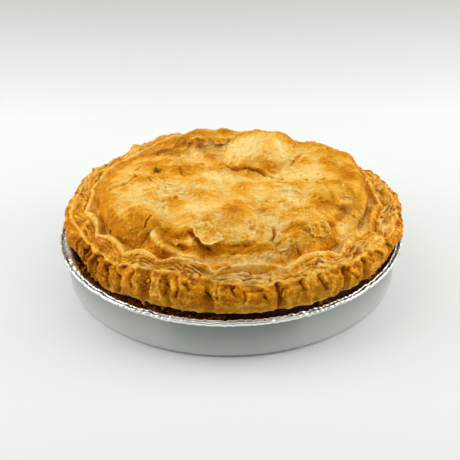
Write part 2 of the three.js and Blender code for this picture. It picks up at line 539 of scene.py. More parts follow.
@dataclass(frozen=True)
class BakedPastry(Finish):
    """Shortcrust pastry, rolled thin, brushed with milk or egg and baked.

    It is matte to softly glossy, from cream where it stayed damp, through gold, to red-brown where it blistered and
    purple-brown where the cut layers scorched. The meshes' tones also carry painted shade in hollows and on the
    fronts of mounds, and painted highlights on crests and ridges. Light goes a millimetre or two into it.
    """

    name: str = "baked_shortcrust"
    stops: tuple = (
        (0.0, "#FFE9A6"), (0.2, "#FDD376"), (0.42, "#F2AD30"), (0.6, "#D28608"), (0.78, "#AC6200"), (0.9, "#783802"),
        (1.0, "#4C2206"),
    )
    # The groove tone browns the gaps between the cut layers, partly as scorch and partly as painted shade, and the
    # lid's toasted and torn patches.
    groove: str = "#A85D28"
    scorch: str = "#50322A"
    moist: str = "#D8AE4E"
    roughness: float = 0.36
    mottle: float = 7.0
    mottle_share: float = 0.24
    speckle: float = 1.7
    speckle_share: float = 0.2
    scorch_share: float = 0.5
    flake: float = 5.0
    flake_steps: float = 9.0
    crumb: float = 0.7
    wrinkle: float = 3.4
    relief: float = 0.4

    def shader(self, tree: bpy.types.NodeTree) -> bpy.types.Node:
        """Adds a ramp from cream to brown, driven by the bake that the mesh carries, and a flaky, wrinkled bump.

        Args:
            tree: The material's nodes.

        Returns:
            The shader.
        """
        where = add_node(tree, "ShaderNodeTexCoord").outputs["Object"]
        bake, groove, scorch, moist = (
            add_node(tree, "ShaderNodeAttribute", attribute_name=layer).outputs["Fac"] for layer in PASTRY_LAYERS
        )
        # The rolled dough's grain runs across, so its streaks are longer along X.
        streaked = add_node(tree, "ShaderNodeVectorMath", {0: where, 1: (0.5, 1.0, 1.0)}, operation="MULTIPLY")
        mottle, speckle, layer, crumb, skin = (
            add_node(tree, "ShaderNodeTexNoise", {"Vector": space, "Scale": per_metre(size), **more})
            for space, size, more in (
                (streaked, self.mottle, {"Detail": 5.0}),
                (streaked, self.speckle, {"Detail": 3.0, "Roughness": 0.65}),
                (where, self.flake, {"Detail": 4.0, "Distortion": 0.6}),
                (where, self.crumb, {"Detail": 2.0}),
                (streaked, self.wrinkle, {"Detail": 3.0, "Distortion": 0.8}),
            )
        )
        # The noises' mean is a half, which the last step takes off again.
        tone = bake
        shares = ((mottle, self.mottle_share), (speckle, self.speckle_share), (scorch, self.scorch_share))
        for pattern, share in shares:
            tone = add_node(tree, "ShaderNodeMath", {0: pattern, 1: share, 2: tone}, operation="MULTIPLY_ADD")
        mean = (self.mottle_share + self.speckle_share) / 2
        tone = add_node(tree, "ShaderNodeMath", {0: tone, 1: mean}, operation="SUBTRACT")
        colour = add_node(tree, "ShaderNodeValToRGB", {"Fac": tone}, self.stops)
        for share, over in ((groove, self.groove), (moist, self.moist), (scorch, self.scorch)):
            colour = add_node(tree, "ShaderNodeMix", {0: share, 6: colour, 7: linear(over)}, data_type="RGBA")
        # Broken flake edges finer than the mesh: the same steps, in the bump alone.
        stepped = add_node(tree, "ShaderNodeMath", {0: layer, 1: self.flake_steps}, operation="MULTIPLY")
        step = add_node(tree, "ShaderNodeMath", {0: stepped}, operation="FRACT")
        height = add_node(tree, "ShaderNodeMath", {0: step, 1: 0.34, 2: crumb}, operation="MULTIPLY_ADD")
        # Fine wrinkles of the dried skin: sharp valleys where the noise crosses its middle.
        crossing = add_node(tree, "ShaderNodeMath", {0: skin, 1: 0.5}, operation="SUBTRACT")
        valley = add_node(tree, "ShaderNodeMath", {0: crossing}, operation="ABSOLUTE")
        height = add_node(tree, "ShaderNodeMath", {0: valley, 1: 7.0, 2: height}, operation="MULTIPLY_ADD")
        bump = add_node(tree, "ShaderNodeBump", {"Strength": 1.0, "Distance": self.relief * MM, "Height": height})
        gloss = add_node(
            tree, "ShaderNodeMath", {0: speckle, 1: 0.5, 2: self.roughness - 0.25}, operation="MULTIPLY_ADD"
        )
        return add_node(
            tree, "ShaderNodeBsdfPrincipled",
            {
                "Base Color": colour, "Roughness": gloss, "Normal": bump, "IOR": 1.4, "Specular IOR Level": 0.07,
                "Subsurface Weight": 0.1, "Subsurface Radius": (1.0, 0.45, 0.15), "Subsurface Scale": 1.2 * MM,
            },
        )


@dataclass(frozen=True)
class BakedJuice(Finish):
    """Fruit juice that boiled over and caramelised between the crust and the tin: dark, tacky and glossy."""

    name: str = "caramelised_apple_juice"
    dark: str = "#1C0D05"
    light: str = "#74400F"
    patch: float = 5.0
    bubble: float = 1.2
    roughness: float = 0.28

    def shader(self, tree: bpy.types.NodeTree) -> bpy.types.Node:
        """Adds a near-black brown that thins to amber in patches, with fine bubbles.

        Args:
            tree: The material's nodes.

        Returns:
            The shader.
        """
        where = add_node(tree, "ShaderNodeTexCoord").outputs["Object"]
        patches, bubbles = (
            add_node(tree, "ShaderNodeTexNoise", {"Vector": where, "Scale": per_metre(size), "Detail": detail})
            for size, detail in ((self.patch, 3.0), (self.bubble, 2.0))
        )
        colour = add_node(tree, "ShaderNodeValToRGB", {"Fac": patches}, ((0.4, self.dark), (0.7, self.light)))
        bump = add_node(tree, "ShaderNodeBump", {"Strength": 0.6, "Distance": 0.4 * MM, "Height": bubbles})
        return add_node(
            tree, "ShaderNodeBsdfPrincipled", {"Base Color": colour, "Roughness": self.roughness, "Normal": bump}
        )


@dataclass(frozen=True)
class PressedFoil(Finish):
    """Container foil: thin aluminium, cold-rolled satin, pressed to a tray and rolled at the rim.

    The rolled surface is satin, so it mirrors the floor softly, and the gathered rim breaks it to sparkles.
    """

    name: str = "pressed_aluminium_foil"
    colour: str = "#D0D3CF"
    under_rim_shade: str = "#A2A5A1"
    under_rim_shade_from: float = 3.0
    under_rim_shade_to: float = 24.0
    bright: str = "#D9DCD8"
    front_rim_highlight: str = "#FDFEFC"
    front_wall_shade: str = "#8A8D88"
    front_shade_from: float = 96.0
    front_shade_to: float = 106.0
    stained: str = "#4A4234"
    roughness: float = 0.52
    smear: float = 0.16
    rim_roughness: float = 0.28

    def shader(self, tree: bpy.types.NodeTree) -> bpy.types.Node:
        """Adds a satin metal with painted shade at the wall's top and front, a brighter rim with a painted highlight
        in front, and dashes of stain and painted shade where the mesh says so.

        Args:
            tree: The material's nodes.

        Returns:
            The shader.
        """
        where = add_node(tree, "ShaderNodeTexCoord").outputs["Object"]
        rim, stain = (
            add_node(tree, "ShaderNodeAttribute", attribute_name=layer).outputs["Fac"] for layer in ("rim", "stain")
        )
        place = add_node(tree, "ShaderNodeSeparateXYZ", {0: where})
        # The wall is painted darker toward its top, as the shade under the rim.
        under_rim_shade_share = add_node(
            tree, "ShaderNodeMapRange", {0: place.outputs["Z"], 1: self.under_rim_shade_from * MM, 2: self.under_rim_shade_to * MM}
        )
        # Painted light: the wall is darker at its front, where it reflects the unlit room, and the rim is brighter
        # there, as a painted highlight.
        front = add_node(
            tree, "ShaderNodeMapRange",
            {0: place.outputs["Y"], 1: -self.front_shade_from * MM, 2: -self.front_shade_to * MM},
            interpolation_type="SMOOTHSTEP",
        )
        share = add_node(tree, "ShaderNodeMath", {0: under_rim_shade_share, 1: 0.85, 2: 0.05}, operation="MULTIPLY_ADD")
        shaded_front = add_node(tree, "ShaderNodeMath", {0: front, 1: share}, operation="MULTIPLY")
        wall, rolled = linear(self.colour), linear(self.bright)
        for share, over in ((under_rim_shade_share, self.under_rim_shade), (shaded_front, self.front_wall_shade)):
            wall = add_node(tree, "ShaderNodeMix", {0: share, 6: wall, 7: linear(over)}, data_type="RGBA")
        rolled = add_node(tree, "ShaderNodeMix", {0: front, 6: rolled, 7: linear(self.front_rim_highlight)}, data_type="RGBA")
        colour = add_node(tree, "ShaderNodeMix", {0: rim, 6: wall, 7: rolled}, data_type="RGBA")
        colour = add_node(tree, "ShaderNodeMix", {0: stain, 6: colour, 7: linear(self.stained)}, data_type="RGBA")
        # Handling dents, and smears far wider than them.
        dents, smears = (
            add_node(tree, "ShaderNodeTexNoise", {"Vector": where, "Scale": per_metre(size), "Detail": detail})
            for size, detail in ((14.0, 4.0), (30.0, 3.0))
        )
        bump = add_node(tree, "ShaderNodeBump", {"Strength": 0.25, "Distance": 0.3 * MM, "Height": dents})
        rough = add_node(
            tree, "ShaderNodeMath", {0: smears, 1: self.smear, 2: self.roughness - self.smear / 2},
            operation="MULTIPLY_ADD",
        )
        polish = add_node(tree, "ShaderNodeMix", {0: rim, 2: rough, 3: self.rim_roughness}, data_type="FLOAT")
        return add_node(
            tree, "ShaderNodeBsdfPrincipled",
            {"Base Color": colour, "Metallic": 1.0, "Roughness": polish, "Normal": bump},
        )


@dataclass(frozen=True)
class StudioPaper(Finish):
    """Seamless background paper: matte white in the middle, greyed at its front and back by painted shade."""

    name: str = "white_background_paper"
    colour: str = "#E2E4E1"
    far_painted_shade: str = "#BFC1BC"
    near_painted_shade: str = "#D1D3D0"
    stops_at: tuple = (-0.35, -0.05, 0.24, 0.54)

    def shader(self, tree: bpy.types.NodeTree) -> bpy.types.Node:
        """Adds a matte white in the middle that fades along Y to the pale grey of painted shade.

        Args:
            tree: The material's nodes.

        Returns:
            The shader.
        """
        where = add_node(tree, "ShaderNodeTexCoord").outputs["Object"]
        place = add_node(tree, "ShaderNodeSeparateXYZ", {0: where})
        first, last = self.stops_at[0], self.stops_at[-1]
        share = add_node(tree, "ShaderNodeMapRange", {0: place.outputs["Y"], 1: first, 2: last})
        colours = (self.near_painted_shade, self.colour, self.colour, self.far_painted_shade)
        stops = tuple(((y - first) / (last - first), colour) for y, colour in zip(self.stops_at, colours))
        tone = add_node(tree, "ShaderNodeValToRGB", {"Fac": share}, stops)
        return add_node(tree, "ShaderNodeBsdfPrincipled", {"Base Color": tone, "Roughness": 0.9})


def finished(bm: bmesh.types.BMesh, name: str, material: bpy.types.Material) -> bpy.types.Object:
    """Turns a bmesh to a smooth-shaded object at the origin.

    Args:
        bm: The mesh, which is freed.
        name: The piece's name.
        material: The piece's material.

    Returns:
        The object, linked to the scene.
    """
    mesh = bpy.data.meshes.new(name)
    bm.to_mesh(mesh)
    bm.free()
    mesh.shade_smooth()
    mesh.materials.append(material)
    made = bpy.data.objects.new(name, mesh)
    bpy.context.scene.collection.objects.link(made)
    return made


def vertex_array(mesh: bpy.types.Mesh) -> np.ndarray:
    """A mesh's vertices as an array.

    Args:
        mesh: The mesh.

    Returns:
        Its points, of shape (vertices, 3).
    """
    made = np.zeros(len(mesh.vertices) * 3)
    mesh.vertices.foreach_get("co", made)
    return made.reshape(-1, 3)


def rolled_piece(
    name: str, material: bpy.types.Material, columns: int, rows: int, closed: bool
) -> tuple[bpy.types.Object, np.ndarray, np.ndarray]:
    """Rolls a grid round Z and welds its seams: to a ring if its rows close too, else to a drum with two poles.

    A ring's section is a circle of radius 1 about radius 2, and a drum's is a half circle of radius 1.

    Args:
        name: The piece's name.
        material: Its material.
        columns: How many faces go round.
        rows: How many faces run along the section.
        closed: Whether the section closes on itself.

    Returns:
        The object, and the column and the row of each of its vertices.
    """
    bm = bmesh.new()
    bmesh.ops.create_grid(bm, x_segments=columns, y_segments=rows, size=1)
    for v in bm.verts:
        turn = (v.co.x + 1) * math.pi
        part = (v.co.y + 1) * math.pi * (1 if closed else 0.5)
        r, z = (2 + math.cos(part), math.sin(part)) if closed else (math.sin(part), -math.cos(part))
        v.co = (r * math.cos(turn), r * math.sin(turn), z)
    bmesh.ops.remove_doubles(bm, verts=bm.verts, dist=1e-5)
    bmesh.ops.recalc_face_normals(bm, faces=bm.faces)
    piece = finished(bm, name, material)
    x, y, z = vertex_array(piece.data).T
    r = np.hypot(x, y)
    turn = np.arctan2(y, x) / (2 * math.pi) % 1
    part = np.arctan2(z, r - 2) / (2 * math.pi) % 1 if closed else np.arctan2(r, -z) / math.pi
    row = np.rint(part * rows).astype(int)
    return piece, np.rint(turn * columns).astype(int) % columns, row % rows if closed else row


def place_vertices(mesh: bpy.types.Mesh, points: np.ndarray) -> None:
    """Moves a mesh's vertices to points given in mm in the pie's own frame."""
    mesh.vertices.foreach_set("co", (points * MM).astype(np.float32).ravel())
    mesh.update()


def paint(mesh: bpy.types.Mesh, **layers: np.ndarray) -> None:
    """Stores numbers on a mesh for its material to read.

    Args:
        mesh: The mesh.
        **layers: For each name one number for each vertex.
    """
    for name, values in layers.items():
        attribute = mesh.attributes.new(name, "FLOAT", "POINT")
        attribute.data.foreach_set("value", values.astype(np.float32).ravel())


def settle(piece: bpy.types.Object, node: Node | None = None) -> None:
    """Makes a piece ride on the pie's one body and reports it.

    Args:
        piece: The finished object.
        node: The solid that it stands for, if any.
    """
    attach(piece, "root")
    if node:
        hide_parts(node.value)
    log.info("%s: %d faces", piece.name, len(piece.data.polygons))


@dataclass(frozen=True)
class Crack:
    """A crack, crease or ridge in the lid, along a path on the plan or in space.

    A negative depth is a ridge. The lip is how much its sides stand up, and the tone is what it adds to the bake.
    """

    path: tuple
    depth: float
    half_width: float
    lip: float = 0.0
    scorch: float = 0.0
    tone: float = 0.2


@dataclass(frozen=True)
class Scarp:
    """A place where the lid breaks down like a step: high on the left of its path, low on the right of it."""

    path: tuple
    drop: float
    run: float
    lip: float = 0.8
    bake: float = 0.2


@dataclass(frozen=True)
class Pit:
    """A small hole, bubble or spot on the lid. A negative depth is a bubble."""

    x: float
    y: float
    radius: float
    depth: float
    scorch: float = 0.0


@dataclass(frozen=True)
class Patch:
    """An oval area of the lid with a tone of its own, which on some mounds' faces is painted shade: centre, radii,
    turn, and what it adds to bake, scorch and tan.

    With a tallness it reaches only that far above and below its height. Its edge is soft or sharp.
    """

    x: float
    y: float
    along: float
    across: float
    turn: float
    bake: float
    scorch: float = 0.0
    tan: float = 0.0
    z: float = 60.0
    tall: float = 0.0
    soft: float = 0.7


@dataclass
class LidCrust:
    """The domed lid, with its creases, cracks, pits, bubbles and broken flakes."""

    form: LidForm
    edge: EdgeForm
    steps: int = 300
    coarse_steps: int = 60
    passes: int = 140
    skirt_depth: float = 12
    hill_height: float = 4.2
    pebble_height: float = 1.0
    flake_step: float = 0.6
    crease_depth: float = 1.3
    wrinkle_depth: float = 1.3
    crepe_depth: float = 1.9
    grit_height: float = 0.45
    bare_depth: float = 0.22
    mean_bake: float = 0.37
    bake_range: tuple = (0.2, 0.57)
    damp_place: tuple = (74, -38, 10)
    cracks: tuple = (
        Crack(((-56, 1), (-52, -6), (-46, -9), (-40, -10), (-32, -12)), 1.0, 0.9, 0.7, 0.3, 0.2),
        Crack(((-40, -10), (-30, -13), (-21, -15)), -0.7, 1.6, tone=-0.1),
        Crack(((-67.8, 12.7), (-62.9, 13.4), (-58.5, 17.2)), 0.6, 0.9, 0.4, 0.25),
        Crack(((-49.5, -44.5), (-51.5, -48.5), (-53.5, -52.0), (-54.4, -56.5)), 0.9, 0.6, 0.7, 0.35, 0.15),
        Crack(((-34.2, 15.1), (-33.3, 4.9), (-30.6, -0.8)), 0.7, 1.3),
        Crack(((46, 31), (42, 22), (38, 14), (35, 11)), 2.0, 2.0, 0.6, 0.1),
        Crack(((24, -57, 62), (25, -63, 61), (24, -69, 59)), 2.2, 1.8, 0.5, 0.4),
        Crack(((-24, -66), (-25, -74), (-25, -79)), -0.6, 0.9, tone=-0.1),
        Crack(((17, -50), (21, -58), (22, -65), (22, -72), (20, -78)), 1.3, 2.4, tone=0.05),
        Crack(((-51, -53, 61), (-48, -62, 58), (-43, -68, 56), (-37, -73, 55), (-29, -78, 54), (-20, -81, 55)),
              -3.2, 3.4, tone=-0.28),
        Crack(((-46, -53, 61), (-43, -64, 59), (-37, -70, 58), (-29, -75, 58), (-22, -78, 58)), 2.4, 3.4, tone=0.12),
        # Painted shadow: the dark hollow under the big curled flake, in tone and scorch.
        Crack(((-27, -62), (-24, -69), (-19, -77), (-11, -80)), 3.0, 3.2, scorch=0.2, tone=0.2),
        Crack(((-64, -57, 55), (-57, -58, 58), (-53, -56, 60)), -1.4, 1.8, tone=-0.16),
        Crack(((-53, -60, 58), (-50, -66, 54), (-44, -72, 52)), 1.2, 2.6, tone=0.1),
        # The crease's tone and scorch are painted shade under the front of the back mound.
        Crack(((-12, 31), (-7, 24), (-2, 18), (5, 14), (13, 11), (20, 8.5), (28, 4), (35, -1)),
              1.3, 1.1, 0.3, 0.08, 0.22),
        Crack(((2, 10), (-4, 0), (-7, -16), (-5, -30)), 1.1, 7.0, tone=-0.04),
        Crack(((2, 7), (10, -1), (19, -9), (27, -16), (36, -20)), -0.7, 2.4, tone=-0.12),
        Crack(((58, -12), (61, -22), (63, -31)), 0.4, 1.5, 0.2, tone=0.1),
        # Painted shade: the dark hollow under the overhanging lip at the front right.
        Crack(((28, -60, 62), (35, -60, 64), (42, -62, 64), (47, -66, 63)), 2.4, 3.8, tone=0.3),
        Crack(((31, -71, 59), (38, -70, 58)), -3.0, 7.0, tone=-0.08),
        Crack(
            (
                (-85, -10, 52), (-83, -12, 59), (-78, -11, 64), (-72, -8, 67), (-67, -5, 67), (-62, 1, 68),
                (-59, 7, 67),
            ),
            1.0, 1.5, 0.4, 0.05, 0.1,
        ),
        Crack(((-45, -44), (-42, -32), (-40, -27), (-36, -24), (-30, -23), (-24, -25)), 0.9, 1.4, 0.5, tone=-0.08),
        Crack(((-52, -24), (-43, -19), (-30, -18), (-21, -17), (-11, -15), (-5, -4), (2, 4)), 0.6, 5.0, tone=-0.06),
        Crack(((-7, -76, 62), (1, -74, 62), (10, -70, 61), (13, -65, 63), (15, -56, 64)), -0.9, 1.2, tone=-0.24),
        Crack(((-7, -78, 60), (1, -77, 60), (11, -73, 59), (16, -67, 61), (18, -57, 63)), 1.3, 2.0, tone=0.14),
        Crack(((4, -23), (11, -29), (18, -36), (20, -47)), 0.8, 1.6, 0.5, tone=-0.06),
        Crack(((26, -26), (31, -23), (37, -20), (42, -21), (48, -25)), 0.8, 1.6, 0.5, tone=-0.08),
        Crack(((57, -25, 65), (66, -30, 61), (73, -33, 57), (78, -33, 54)), -1.8, 6.0, tone=0.0),
        # The tone here is painted shade on the steep front face.
        Crack(((-44, -53), (-39, -60), (-32, -65), (-25, -67)), 2.4, 6.0, tone=0.36),
    )
    scarps: tuple = (
        Scarp(((-4, 20), (5, 15), (14, 12), (24, 6), (33, 0)), 1.2, 8.0, 0.4, 0.02),
        Scarp(((21, -58), (28, -61), (34, -63), (40, -64), (47, -66), (55, -66)), 1.6, 6.0, 0.8, 0.05),
        Scarp(((-70, 45), (-50, 36), (-36, 33), (-18, 33), (-2, 30)), 1.0, 5.0, 0.5, 0.0),
    )
    pits: tuple = (
        Pit(-49.0, 7.4, 4.4, 1.6, 1.0), Pit(-61.5, 1.4, 1.4, 0.9, 0.6), Pit(-69.1, -6.5, 1.8, 0.7, 0.5),
        Pit(-55.4, -17.6, 2.2, 1.2, 0.1), Pit(-44.0, -26.3, 2.0, 1.6, 0.25), Pit(-35.6, -22.2, 2.4, -0.8, 0.15),
        Pit(19.8, -32.4, 2.0, 1.0, 0.2), Pit(-2.7, 47.5, 2.0, 1.4, 0.6), Pit(-20.9, 48.6, 2.6, 1.6, 0.45),
        Pit(-18.0, 37.1, 3.0, 1.6, 0.4), Pit(-32.4, 50.9, 3.0, 1.8, 0.4), Pit(65.6, 15.7, 2.2, 0.7, 0.35),
        Pit(56.9, -6.5, 1.8, 0.9, 0.35), Pit(42.0, -23.0, 2.2, 0.9, 0.2), Pit(57.0, -31.0, 2.0, 0.7, 0.3),
        Pit(-3.6, 11.6, 3.0, -0.7, 0.0), Pit(-30.0, -44.0, 3.6, -0.7, 0.0), Pit(-21.1, -40.9, 2.6, -0.6, 0.0),
    )
    patches: tuple = (
        Patch(-32, 54, 34, 15, 4, 0.12, 0.06),
        Patch(-22, 43, 21, 8, 0, -0.04, 0.2, 0.42, soft=0.6),
        Patch(-44, 52, 17, 7, 10, -0.04, 0.2, 0.42, soft=0.6),
        Patch(-34, 12, 16, 11, 0, 0.16),
        Patch(-40, 19, 4, 4, 0, 0.14, soft=0.5),
        Patch(74, 6, 18, 34, 0, 0.12),
        Patch(14, 30, 22, 16, 0, -0.24),
        # Painted shade on the front face of the back mound.
        Patch(14, 16, 18, 5, -22, 0.12, soft=0.6),
        Patch(44, 3, 18, 8, -8, -0.16),
        Patch(71, -42, 21, 5, 57, -0.12, z=54, tall=4.5, soft=0.4),
        # Painted shade on the front face of the right-front mound.
        Patch(66, -41, 17, 6, 57, 0.22, z=60, tall=4, soft=0.5),
        Patch(80, -22, 3.5, 11, 10, -0.18, soft=0.4),
        Patch(45, -70, 9, 8, 0, -0.12, z=57, tall=7, soft=0.4),
        Patch(-8, 4, 14, 9, -20, -0.12),
        Patch(-4, -39, 5, 5, 0, 0.18, soft=0.5),
        Patch(-33, -42, 16, 10, -10, -0.12),
        Patch(-52, -22, 22, 14, 40, -0.1),
        Patch(4, -60, 24, 11, 0, -0.1, soft=0.4),
        Patch(-2, -79, 22, 9, 0, 0.1, z=57.5, tall=4.8, soft=0.3),
        Patch(30, -24, 22, 9, 0, -0.1),
        Patch(66, -25, 11, 9, 0, -0.1),
        Patch(44, -8, 30, 18, 0, -0.05),
        Patch(0, -83, 36, 8, 0, -0.34, z=53.5, tall=2.8, soft=0.4),
        Patch(-4, -56, 20, 12, 0, 0.0, tan=0.22, soft=0.5),
        Patch(-60, 30, 20, 12, 40, -0.01),
        Patch(-68, -48, 18, 12, 40, 0.06),
        Patch(35, -74, 8, 5, 0, -0.1, z=59, tall=5, soft=0.4),
    )
    crinkled: tuple = ((-4, -60, 24), (-18, -20, 16), (-50, -22, 14), (30, -34, 18), (14, -50, 12))
    bubble_count: int = 90
    seed: int = 7
    shaped: np.ndarray | None = None

    def plan(self) -> tuple[np.ndarray, np.ndarray]:
        """A square grid mapped to the unit disc.

        Returns:
            Its x and y, each of shape (steps + 1, steps + 1).
        """
        line = np.linspace(-1, 1, self.steps + 1)
        u, v = np.meshgrid(line, line)
        wide = np.abs(u) > np.abs(v)
        reach = np.where(wide, u, v)
        part = np.where(wide, v, u) / np.where(reach == 0, 1, reach)
        angle = np.where(wide, math.pi / 4 * part, math.pi / 2 - math.pi / 4 * part)
        return reach * np.cos(angle), reach * np.sin(angle)

    def spread(self, px: np.ndarray, py: np.ndarray) -> tuple[np.ndarray, np.ndarray]:
        """Slides the grid over the plan until the steep sides have as many points as the flat top.

        It is worked out on a coarse copy of the grid, where each point is pulled harder by its longer edges.

        Args:
            px: The even grid's x on the unit disc.
            py: Its y.

        Returns:
            The new x and y.
        """
        skip = self.steps // self.coarse_steps
        cx, cy = px[::skip, ::skip].copy(), py[::skip, ::skip].copy()
        for _ in range(self.passes):
            points = self.surface(cx, cy)
            across = np.linalg.norm(np.diff(points, axis=1), axis=-1)[1:-1] ** 2
            down = np.linalg.norm(np.diff(points, axis=0), axis=-1)[:, 1:-1] ** 2
            pulls = (across[:, :-1], across[:, 1:], down[:-1], down[1:])
            for flat in (cx, cy):
                near = (flat[1:-1, :-2], flat[1:-1, 2:], flat[:-2, 1:-1], flat[2:, 1:-1])
                mean = sum(w * n for w, n in zip(pulls, near)) / sum(pulls)
                flat[1:-1, 1:-1] += 0.8 * (mean - flat[1:-1, 1:-1])
        coarse = np.linspace(0, 1, self.coarse_steps + 1)
        fine = np.linspace(0, 1, self.steps + 1)
        made = []
        for flat, even in ((cx, px), (cy, py)):
            rows = np.array([np.interp(fine, coarse, row) for row in flat])
            full = np.array([np.interp(fine, coarse, column) for column in rows.T]).T
            full = softened(softened(full, 8, 0), 8, 1)
            for rim in (np.s_[0], np.s_[-1], np.s_[:, 0], np.s_[:, -1]):
                full[rim] = even[rim]
            made.append(full)
        return made[0], made[1]

    def surface(self, px: np.ndarray, py: np.ndarray) -> np.ndarray:
        """The lid's smooth form over points of the unit disc.

        Args:
            px: The points' x on the unit disc.
            py: Their y.

        Returns:
            Points in mm, of shape (..., 3).
        """
        ring = np.hypot(px, py)
        radii, heights = self.edge.section(np.degrees(np.arctan2(py, px)).ravel())
        foot_r, foot_z = (a[-1].reshape(px.shape) for a in (radii, heights))
        x, y = px * foot_r, py * foot_r
        z = self.form.height(x, y) + (foot_z - self.form.foot) * ring**8
        return np.stack([x, y, z], -1)

    def relief(self, base: np.ndarray, normals: np.ndarray) -> tuple[np.ndarray, dict]:
        """What the baking did to the smooth lid.

        Args:
            base: The smooth lid's points.
            normals: Its normals.

        Returns:
            How far each point moves along its normal, in mm, and the tones painted there.
        """
        x, y, z = base[..., 0], base[..., 1], base[..., 2]
        broad, wave, fine = grain(base, 26, 1), grain(base, 9, 2), grain(base, 2.6, 3)
        stray = np.stack([wave, broad, fine], -1)
        warped = base + 3 * stray
        # Bubbled dough: round hills with sharp valleys between them, large and small.
        hills, pebbles = (np.abs(grain(warped, size, seed, 2)) - MEAN_RIDGE for size, seed in ((22, 5), (8, 6)))
        # Wrinkles of the thin skin, longer along the plan than up.
        flaky = rise(grain(base, 20, 4, 2), -0.2, 0.35)
        wrinkles = flaky * np.clip(0.2 - np.abs(grain(warped * [0.5, 1, 1], 4.2, 8)), -0.1, 0.2)
        flakes = terrace(broad * 5 + wave * 1.3 + z / 3.4) * (0.25 + 0.75 * flaky)
        # The mounds meet in creases, but for a smooth stretch at the right.
        smooth = hump(np.hypot(x - 68, y + 30), 20)
        crease = self.form.crease(x, y) * rise(broad + wave * 0.5, -0.5, 0.2) * (1 - smooth)
        steep = rise(1 - normals[..., 2], 0.04, 0.6)
        # Here and there the glazed top skin came off in ragged patches and shows paler crust.
        bare = (1 - steep) * rise(grain(warped, 5.5, 9) + 0.3 * broad, 0.1, 0.18)
        # The skin is crimped like crepe where it dried first.
        crepe = 0.22 - np.minimum(np.abs(grain(warped * [0.5, 1.2, 1.2], 3.0, 12, 2)), 0.44)
        crisp = 0.25 + 0.75 * rise(grain(base, 17, 13, 2), -0.25, 0.25)
        for middle_x, middle_y, reach in self.crinkled:
            crisp = np.maximum(crisp, 1.3 * hump(np.hypot(x - middle_x, y - middle_y) + 3 * wave, reach))
        grit = grain(base * [0.5, 1, 1], 2.3, 14, 2)
        move = self.hill_height * hills + self.pebble_height * (1 - steep) * pebbles + 0.12 * fine
        move += self.flake_step * flakes - self.crease_depth * crease + self.wrinkle_depth * wrinkles
        move += crisp * (self.crepe_depth * crepe + self.grit_height * grit) - self.bare_depth * bare
        # Steep faces are painted browner: painted shade on the fronts of the mounds.
        bake = self.mean_bake + 0.09 * wave + 0.14 * broad + 0.32 * steep - 0.1 * flakes - 0.05 * crease
        bake += 0.4 * hills + 0.3 * wrinkles - 0.03 * bare
        # The crepe's ridges are painted paler, as highlights, and its cells darker, as shade.
        bake = np.clip(bake, *self.bake_range) + crisp * (0.1 * grit - 0.22 * crepe)
        groove, scorch = np.zeros(x.shape), np.zeros(x.shape)
        for i, crack in enumerate(self.cracks):
            away, along = distance_to_path(base, crack.path)
            ends = np.minimum(1, 6 * np.minimum(along, 1 - along) + 0.15)
            inside = ends * hump(away + 0.55 * grain(base, 5, 20 + i, 2), crack.half_width)
            lip = ends * crack.lip * hump(np.abs(away) - 1.6 * crack.half_width, 1.2 * crack.half_width)
            move += lip - crack.depth * inside
            bake += crack.tone * inside - 0.12 * lip
            scorch = np.maximum(scorch, crack.scorch * inside)
        for i, scarp in enumerate(self.scarps):
            away, along = distance_to_path(base + 1.5 * stray, scarp.path)
            away = away + 0.8 * grain(base * [1, 1, 0], 9, 50 + i, 2)
            ends = rise(np.minimum(along, 1 - along), 0.0, 0.16) * hump(away, 3.5 * scarp.run)
            fallen = rise(-away, -1.8, 2.0) * np.exp(np.minimum(away, 0) / scarp.run)
            move += ends * (scarp.lip * hump(away - 1.6, 2.4) - scarp.drop * fallen)
            # The step's face is painted darker, as its shade.
            bake += ends * scarp.bake * hump(away, 2.6)
        for pit in self.pits:
            away = np.hypot(x - pit.x, y - pit.y) + 0.8 * fine
            inside = hump(away, pit.radius)
            move -= pit.depth * inside
            bake += 0.12 * np.sign(pit.depth) * hump(away - pit.radius, 1.0)
            scorch = np.maximum(scorch, pit.scorch * inside)
        for patch in self.patches:
            u, v = in_oval(x - patch.x + 3 * wave, y - patch.y + 3 * broad, patch)
            w = (z - patch.z + wave) / patch.tall if patch.tall else 0.0
            inside = rise(1 + patch.soft * 0.4 - np.sqrt(u * u + v * v + w * w), 0, patch.soft)
            streaky = inside * rise(wave + fine * 0.5, -0.9, 0.4)
            bake += patch.bake * inside
            scorch = np.maximum(scorch, patch.scorch * streaky)
            groove = np.maximum(groove, patch.tan * streaky)
        draw = random.Random(self.seed)
        for _ in range(self.bubble_count):
            angle, far = draw.uniform(0, 2 * math.pi), self.form.radius * math.sqrt(draw.uniform(0, 0.85))
            radius, tall = draw.uniform(0.9, 2.4), draw.uniform(0.2, 0.55)
            inside = hump(np.hypot(x - far * math.cos(angle), y - far * math.sin(angle)), radius)
            move += tall * inside
            bake += 0.1 * inside
        # Where the lid dips at the right it stayed damp and pale.
        damp_x, damp_y, reach = self.damp_place
        damp = hump(np.hypot(x - damp_x, (y - damp_y) * 0.6), reach)
        tones = (np.clip(bake, 0.14, 1), groove, np.clip(scorch, 0, 1), 0.5 * damp)
        return move, dict(zip(PASTRY_LAYERS, tones))

